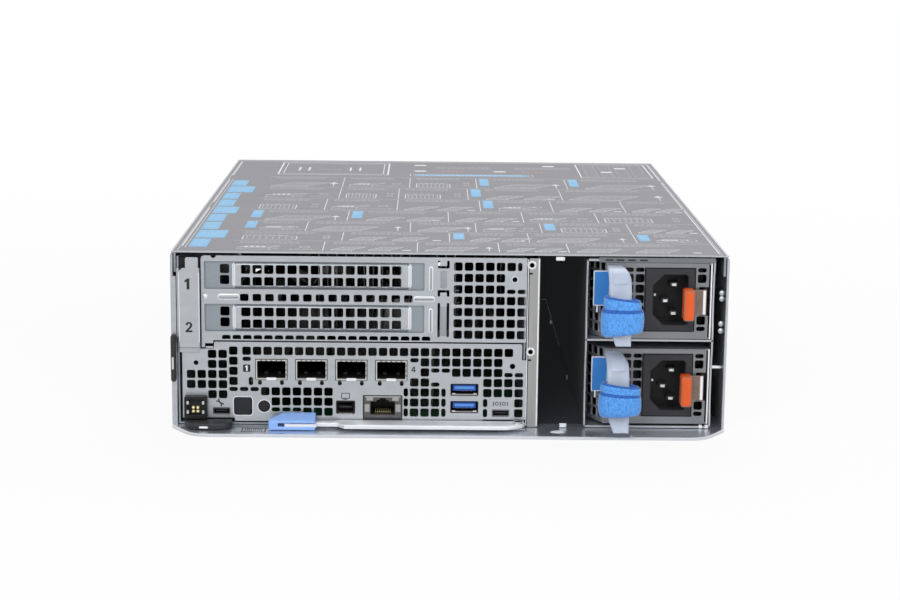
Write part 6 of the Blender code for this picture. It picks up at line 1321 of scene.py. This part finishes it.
# %% Lip label
lip_label = Piece("lip_label")
lip_label.fill([rect(-100.4 * mm, -88.6 * mm, -13.2 * mm, -5.2 * mm),
                rect(-99.8 * mm, -89.2 * mm, -12.4 * mm, -6.0 * mm)], to_z, WALL + 0.02 * mm, CHARCOAL)
for row in range(3):
    for column in range(9):
        x, y = (-98.9 + column) * mm, (-11.5 + row * 2.0) * mm
        lip_label.flat(rect(x, x + 0.6 * mm, y, y + 1.1 * mm), to_z, WALL + 0.02 * mm, CHARCOAL)
lip_label.object("chassis")

# %% Side clip
(clip_low_x, clip_front, clip_low), (clip_high_x, clip_back, clip_high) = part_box("side_clip")
clip = Piece("wall_clip")
outline = rounded(clip_low_x, clip_high_x, clip_low, clip_high, (clip_high_x - clip_low_x) * 0.49, 5)
clip.plate(outline, [], to_y, clip_front, clip_back, CHARCOAL, 0.7 * mm, 0.2 * mm)
clip.plate(rounded(-134.4 * mm, -133.5 * mm, 29.6 * mm, 35.8 * mm, 0.4 * mm, 2), [], to_y, clip_front - 0.03 * mm,
           clip_front + 0.1 * mm, PRINT_FAINT)
clip.object("chassis", ("side_clip",), "charcoal_plastic")

# %% [markdown]
# ## Power supplies
# Two alike. The face is one sheet, bent back at its left corner, with holes on both sides of the bend.
# On it stand the mains inlet, an orange thumb tab on a steel arm, a clear handle and a blue strap.

# %% Supply faces
SUPPLY_TOP, FACE_SHEET, GRID = 37.5 * mm, 0.9 * mm, 5.15 * mm
(face_left, _, _), (face_right, _, _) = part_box("psu_1_face")
BEND_X, BEND_Y = 75.8 * mm, 16 * mm
SLANT = math.hypot(BEND_X - face_left, BEND_Y)
slant_along = Vector(((face_left - BEND_X) / SLANT, BEND_Y / SLANT))
slant_inward = Vector((slant_along.y, -slant_along.x))
CORNER_MAP, FACE_MAP, STRIP_MAP = ("###",) * 7, ("___",) + ("###",) * 5 + ("---",), ("_", "#", ".", ".", ".", "#", "-")
FACE_EDGE = 125.3 * mm


def slanted(u, v, w):
    """A place on the bent-back corner: u runs from its rear edge to the bend."""
    point = Vector((BEND_X, 0)) + slant_along * (SLANT - u) + slant_inward * w
    return (point.x, point.y, v)


supplies = []
for number in (1, 2):
    floor_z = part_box(f"psu_{number}_face")[0][2]
    top, middle = floor_z + SUPPLY_TOP, floor_z + SUPPLY_TOP / 2
    supplies.append((number, floor_z, middle, top))
    (inlet_left, _, inlet_low), (inlet_right, _, inlet_high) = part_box(f"psu_{number}_inlet")
    face = Piece(f"supply_face_{number}")
    first = top - 2.5 * mm
    holes = punched(FACE_MAP, 81.5 * mm, first, GRID, GRID) + punched(STRIP_MAP, 121.85 * mm, first, GRID, GRID)
    gap = 0.3 * mm
    holes.append(rect(inlet_left - gap, inlet_right + gap, inlet_low - gap, inlet_high + gap))
    NOTCH = 7 * mm
    outline = [(BEND_X, floor_z), (FACE_EDGE, floor_z), (FACE_EDGE, middle - NOTCH), (120.6 * mm, middle - NOTCH),
               (120.6 * mm, middle + NOTCH), (FACE_EDGE, middle + NOTCH), (FACE_EDGE, top), (BEND_X, top)]
    # The front of the face is the darker tone: painted shade.
    face.plate(cornered(outline, [c * mm for c in (0, 0.4, 0.4, 0.5, 0.5, 0.4, 0.4, 0)], 2), holes, to_y, 0,
               FACE_SHEET, SUPPLY_FACE_SHADE, 0.12 * mm)
    face.plate(rect(FACE_EDGE + 0.8 * mm, face_right, floor_z, top), [], to_y, 0.3 * mm, 2 * mm, SATIN_AND_HIGHLIGHT, 0.1 * mm)
    face.plate(rect(BEND_X, face_right, floor_z, floor_z + 0.5 * mm), [], to_y, 0.4 * mm, 1.4 * mm, SUPPLY_FACE_SHADE)
    holes = punched(CORNER_MAP, 3.6 * mm, first, GRID, GRID)
    # The bent corner is the lighter tone: painted light.
    face.plate(rect(0, SLANT, floor_z, top), holes, slanted, 0, FACE_SHEET, SUPPLY_CORNER_LIGHT, 0.12 * mm)
    face.object(f"psu_{number}", (f"psu_{number}_face",), "zinc", smooth=30)
    # Black plates inside the supply, behind the holes of its face and its corner: painted shade.
    shade_backing = Piece(f"supply_painted_shade_{number}")
    shade_backing.plate(rect(BEND_X + 4 * mm, face_right - 2 * mm, floor_z + 2 * mm, top - 2 * mm), [], to_y, 19.5 * mm,
                  20 * mm, SHADE_FILM)
    shade_backing.plate(rect(2.5 * mm, SLANT - 1 * mm, floor_z + 1 * mm, top - 1 * mm), [], slanted, 4 * mm, 4.4 * mm, SHADE_FILM)
    shade_backing.object(f"psu_{number}")
# The supply cases are the darker zinc: painted shade.
paint(ZINC_DULL_SHADE, "psu_1_case", "psu_2_case")
print("supplies at heights:", [round(s[1] / mm, 1) for s in supplies])

# %% Mains inlets
for number, floor_z, middle, top in supplies:
    (left, front, low), (right, back, high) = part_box(f"psu_{number}_inlet")
    inlet = Piece(f"mains_inlet_{number}")
    middle = (low + high) / 2
    mouth_left, mouth_right = left + 4.0 * mm, left + 20.8 * mm
    half, cut, nick = 12.3 * mm, 5.2 * mm, 1.0 * mm
    mouth = [(mouth_left + cut, middle - half), (mouth_right - nick, middle - half),
             (mouth_right, middle - half + nick), (mouth_right, middle + half - nick),
             (mouth_right - nick, middle + half), (mouth_left + cut, middle + half),
             (mouth_left, middle + half - cut), (mouth_left, middle - half + cut)]
    mouth = cornered(mouth, 0.8 * mm, 3)
    frame_outline = cornered(rect(left, right, low, high), 0.7 * mm, 3)
    inlet.plate(frame_outline, [mouth], to_y, front, 15.6 * mm, CHARCOAL, 0.4 * mm)
    inlet.plate(frame_outline, [], to_y, 15.7 * mm, back, BLACK)
    inlet.plate(grown(mouth, 0.4 * mm), [], to_y, 9.5 * mm, 10 * mm, BLACK)
    pin_x = mouth_left + 8 * mm
    for x, z in ((pin_x + 0.3 * mm, middle + 7 * mm), (pin_x - 3.8 * mm, middle - 1 * mm),
                 (pin_x + 0.3 * mm, middle - 7.2 * mm)):
        blade = cornered(rect(x, x + 4 * mm, z - 1 * mm, z + 1 * mm), 0.3 * mm, 2)
        tip = rect(x + 0.85 * mm, x + 3.15 * mm, z - 0.67 * mm, z + 0.67 * mm)
        # The blade bodies are dark: painted shade on the metal pins; only their tips are pale steel.
        inlet.plate(blade, [], to_y, 3.2 * mm, 10 * mm, CHARCOAL, 0.35 * mm)
        inlet.plate(tip, [], to_y, 2.1 * mm, 3.3 * mm, SATIN_AND_HIGHLIGHT, 0.25 * mm)
    for z in (middle + 9.4 * mm, middle - 4.4 * mm):
        inlet.head((mouth_left + 12.4 * mm, 9.5 * mm, z), ((0.6, 0), (0.5, 0.3), (0.01, 0.4)), GREY_PLASTIC, 10)
    # A small pale block on the mouth's left wall: painted reflection.
    inlet.block((mouth_left + 0.5 * mm, 3.0 * mm, middle + 1.2 * mm),
                (mouth_left + 1.7 * mm, 4.0 * mm, middle + 2.4 * mm), SATIN_AND_HIGHLIGHT, 0.3 * mm)
    inlet.object(f"psu_{number}", (f"psu_{number}_inlet",), "charcoal_plastic")

# %% Latch tabs and arms
THUMB_FRONT, ARM_FRONT = -9.4 * mm, -3.0 * mm
for number, floor_z, middle, top in supplies:
    paint(RIBBED, f"psu_{number}_latch")
    thumb = Piece(f"thumb_tab_{number}")
    outline = rounded(112.3 * mm, 117.6 * mm, middle - 8.1 * mm, middle + 7.1 * mm, 1.2 * mm, 4)
    thumb.plate(outline, [], to_y, THUMB_FRONT - 0.05 * mm, -2.1 * mm, ORANGE, 0.6 * mm, 0.2 * mm)
    thumb.object(f"psu_{number}_latch", slot="orange_plastic", smooth=60)
    knurl = Piece(f"arm_texture_{number}")
    for row in range(13):
        z = middle + (row - 6.0) * 0.86 * mm
        for column in range(5):
            x = (118.3 + column * 0.78) * mm
            knurl.dome(rect(x - 0.24 * mm, x + 0.24 * mm, z - 0.26 * mm, z + 0.26 * mm), to_y, ARM_FRONT + 0.02 * mm,
                       -0.14 * mm, 0.16 * mm, RIBBED, 1)
    knurl.block((122.2 * mm, ARM_FRONT - 0.15 * mm, middle - 5.9 * mm),
                (123.6 * mm, ARM_FRONT + 0.1 * mm, middle + 5.9 * mm), SATIN_AND_HIGHLIGHT, 0.12 * mm)
    knurl.object(f"psu_{number}_latch", slot="orange_plastic")

# %% [markdown]
# The handle is a clear flexible strip: it stands out from the face, bends over and hangs down. It is
# made as a row of rounded sections along that line, each a little narrower near the end.

# %% Handles
HANDLE_X, HANDLE_HALF, HANDLE_SHEET = 80.9 * mm, 5.4 * mm, 2.4 * mm
HANDLE_LINE = ((0.0, 0.0, 1.0, 0.45), (0.30, 0.01, 1.0, 0.70), (0.55, 0.08, 1.0, 0.96), (0.70, 0.22, 1.0, 1.0),
               (0.80, 0.45, 1.0, 1.0), (0.90, 0.75, 0.96, 1.0), (1.0, 1.0, 0.42, 0.92))
REACH, DROP, ROOT_RISE = 24.2 * mm, 34.7 * mm, 36.2 * mm
HANDLE_STEPS = 40


def handle_point(share, floor_z):
    """Y, Z and the two width shares of the handle's middle line, from its root to its end."""
    spot = share * (len(HANDLE_LINE) - 1)
    index = min(int(spot), len(HANDLE_LINE) - 2)
    t = spot - index
    rows = [HANDLE_LINE[max(0, min(len(HANDLE_LINE) - 1, index + k))] for k in (-1, 0, 1, 2)]
    values = []
    for a, b, c, d in zip(*rows):
        values.append(0.5 * (2 * b + (c - a) * t + (2 * a - 5 * b + 4 * c - d) * t * t
                             + (3 * b - a - 3 * c + d) * t ** 3))
    return -0.3 * mm - values[0] * REACH, floor_z + ROOT_RISE - values[1] * DROP, min(values[2], 1), min(values[3], 1)


for number, floor_z, middle, top in supplies:
    handle = Piece(f"pull_handle_{number}")
    sections = []
    for step in range(HANDLE_STEPS + 1):
        share = step / HANDLE_STEPS
        y, z, left_share, right_share = handle_point(share, floor_z)
        ahead, back = handle_point(min(share + 0.01, 1), floor_z), handle_point(max(share - 0.01, 0), floor_z)
        along = Vector((ahead[0] - back[0], ahead[1] - back[1])).normalized()
        inward = Vector((-along.y, along.x))
        section = rounded(-HANDLE_HALF * left_share, HANDLE_HALF * right_share, -HANDLE_SHEET / 2, HANDLE_SHEET / 2,
                          HANDLE_SHEET * 0.42, 3)
        y += inward.x * HANDLE_SHEET / 2
        z += inward.y * HANDLE_SHEET / 2
        sections.append([(HANDLE_X + u, y + inward.x * v, z + inward.y * v) for u, v in section])
    handle.skin(sections, CLEAR)
    sections = []
    for step in range(10):
        y, z, _, _ = handle_point(0.24 + 0.22 * step / 9, floor_z)
        ahead, back = handle_point(0.25 + 0.22 * step / 9, floor_z), handle_point(0.23 + 0.22 * step / 9, floor_z)
        along = Vector((ahead[0] - back[0], ahead[1] - back[1])).normalized()
        raised = rounded(-3.6 * mm, 3.6 * mm, -0.45 * mm, 0.15 * mm, 0.28 * mm, 2)
        sections.append([(HANDLE_X + u, y - along.y * v, z + along.x * v) for u, v in raised])
    handle.skin(sections, CLEAR)
    handle.object(f"psu_{number}", (f"psu_{number}_handle",), "clear_plastic", smooth=60)

# %% [markdown]
# The strap is a hook-and-loop band wound twice round the handle. Each turn is a soft oval ring of
# pile: thick rounded edges, a little tilt, and a surface pushed in and out by a seeded wobble.

# %% Straps


def pile(name, colour):
    """Loop pile: a fibre colour that drifts in upright ribs, sheen, and a deep fine bump."""
    material = finish(name, colour, 0.95, drift=0.32, drift_scale=1300, grain=1.0, grain_scale=1500,
                      stretch=(1, 1, 0.6))
    tune(material.node_tree.nodes["Principled BSDF"], Sheen_Weight=0.5, Sheen_Roughness=0.4)
    return material


# The darker pile on the inner faces and along each turn's top edge is painted shade.
PILE, PILE_SHADE = pile("strap_pile", (84, 152, 232)), pile("strap_pile_painted_shade", (44, 96, 176))
WRAPS = {1: ((6.9, 19.0, 10.3, 7.2, 0.11, -0.02, -0.02), (15.8, 24.2, 9.0, 6.1, -0.10, -0.13, -0.06)),
         2: ((9.6, 20.6, 10.3, 7.2, 0.06, -0.08, -0.02), (16.8, 24.6, 9.6, 6.1, -0.10, -0.12, -0.06))}
wobble = random.Random(11)
for number, floor_z, middle, top in supplies:
    strap = Piece(f"strap_{number}")
    (strap_left, strap_near, _), (strap_right, strap_far, _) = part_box(f"psu_{number}_strap")
    STRAP_X, STRAP_Y = (strap_left + strap_right) / 2, (strap_near + strap_far) / 2
    for low, high, half_x, half_y, low_lean, high_lean, tip in WRAPS[number]:
        sides, levels = 48, 9
        previous = None
        phases = [wobble.uniform(0, 6.28) for _ in range(4)]
        profile = []
        thick = 1.3 * mm
        for step in range(levels * 2):
            outside = step < levels
            t = step / (levels - 1) if outside else (levels * 2 - 1 - step) / (levels - 1)
            bulge = math.sin(math.pi * t) * 0.25 * mm
            edge = thick / 2 * (1 - (2 * abs(t - 0.5)) ** 6)
            offset = edge + bulge if outside else -edge - thick * 0.3
            profile.append((offset, low * mm + (high - low) * mm * t))
        for row, (offset, height) in enumerate(profile):
            ring = []
            for i in range(sides):
                angle = 2 * math.pi * i / sides
                ripple = (0.10 * mm * math.sin(3 * angle + phases[0])
                          + 0.05 * mm * math.sin(7 * angle + phases[1] + height * 400))
                rx, ry = (half_x * mm - thick / 2 - 0.2 * mm + offset + ripple,
                          half_y * mm - thick / 2 - 0.2 * mm + offset + ripple)
                x, y = rx * math.cos(angle), ry * math.sin(angle)
                t = (height / mm - low) / (high - low)
                z = floor_z + height + (low_lean * (1 - t) + high_lean * t) * x + tip * y
                ring.append((STRAP_X + x, STRAP_Y + y, z))
            ring = strap.ring(ring)
            if previous:
                # The top edge and the inner face are the darker pile: painted shade.
                strap.strip(previous, ring, PILE if row < levels - 1 else PILE_SHADE)
            else:
                first = ring
            previous = ring
        strap.strip(previous, first, PILE_SHADE)
    strap.object(f"psu_{number}", (f"psu_{number}_strap",), "strap", smooth=70)
    label = Piece(f"rating_label_{number}")
    low, high = floor_z + 16.4 * mm, floor_z + 33.6 * mm
    border = rounded(69.3 * mm, 77.2 * mm, low, high, 0.4 * mm, 2)
    label.plate(border, [], to_y, -0.9 * mm, -0.5 * mm, LABEL_EDGE, 0.1 * mm)
    label.flat(grown(border, -0.4 * mm), to_y, -0.93 * mm, LABEL_BLUE)
    label.block((70.9 * mm, -0.85 * mm, low - 3.2 * mm), (71.6 * mm, -0.5 * mm, low), LABEL_EDGE, 0.05 * mm)
    label.block((74.8 * mm, -0.6 * mm, low + 6 * mm), (77.0 * mm, 0.05 * mm, high - 2 * mm), LABEL_EDGE, 0.05 * mm)
    label.object(f"psu_{number}")
print("straps:", len(supplies))

# %% [markdown]
# ## Inside pieces
# What can be glimpsed through the holes: boards, modules, fans. They keep their solid forms.

# %% Inside finishes
paint(BOARD, "memory_module_1", "memory_module_2")
for i in (1, 2, 3):
    paint(BLACK, f"fan_frame_{i}")
    paint(CHARCOAL, f"fan_rotor_{i}")

# %% Bay tabs and studs
tabs = Piece("bay_tabs")
tabs.plate(rounded(51.0 * mm, 55.3 * mm, 84.2 * mm, 86.0 * mm, 0.5 * mm), [], to_y, -0.2 * mm, 0.6 * mm, LABEL_EDGE,
           0.3 * mm)
tabs.block((54.3 * mm, -0.6 * mm, 1.4 * mm), (57.7 * mm, 0.4 * mm, 3.4 * mm), LABEL_EDGE, 0.3 * mm)
# Two small blocks deep in the bay, in the darker zinc: painted shade.
for x, z in ((52.8 * mm, 41.6 * mm), (61.8 * mm, 12.2 * mm)):
    tabs.block((x - 0.6 * mm, 60 * mm, z - 1.2 * mm), (x + 0.6 * mm, 61 * mm, z + 1.2 * mm), ZINC_DULL_SHADE, 0.2 * mm)
tabs.object("chassis")
studs = Piece("wall_studs")
for z in (49.7, 53.2, 65.6, 68.4):
    studs.head((132.2 * mm, 3 * mm, z * mm), ((1.4, -1), (1.4, 0.3), (1.0, 0.7), (0.01, 0.8)), ZINC, 16)
studs.object("chassis", slot="bright_steel")
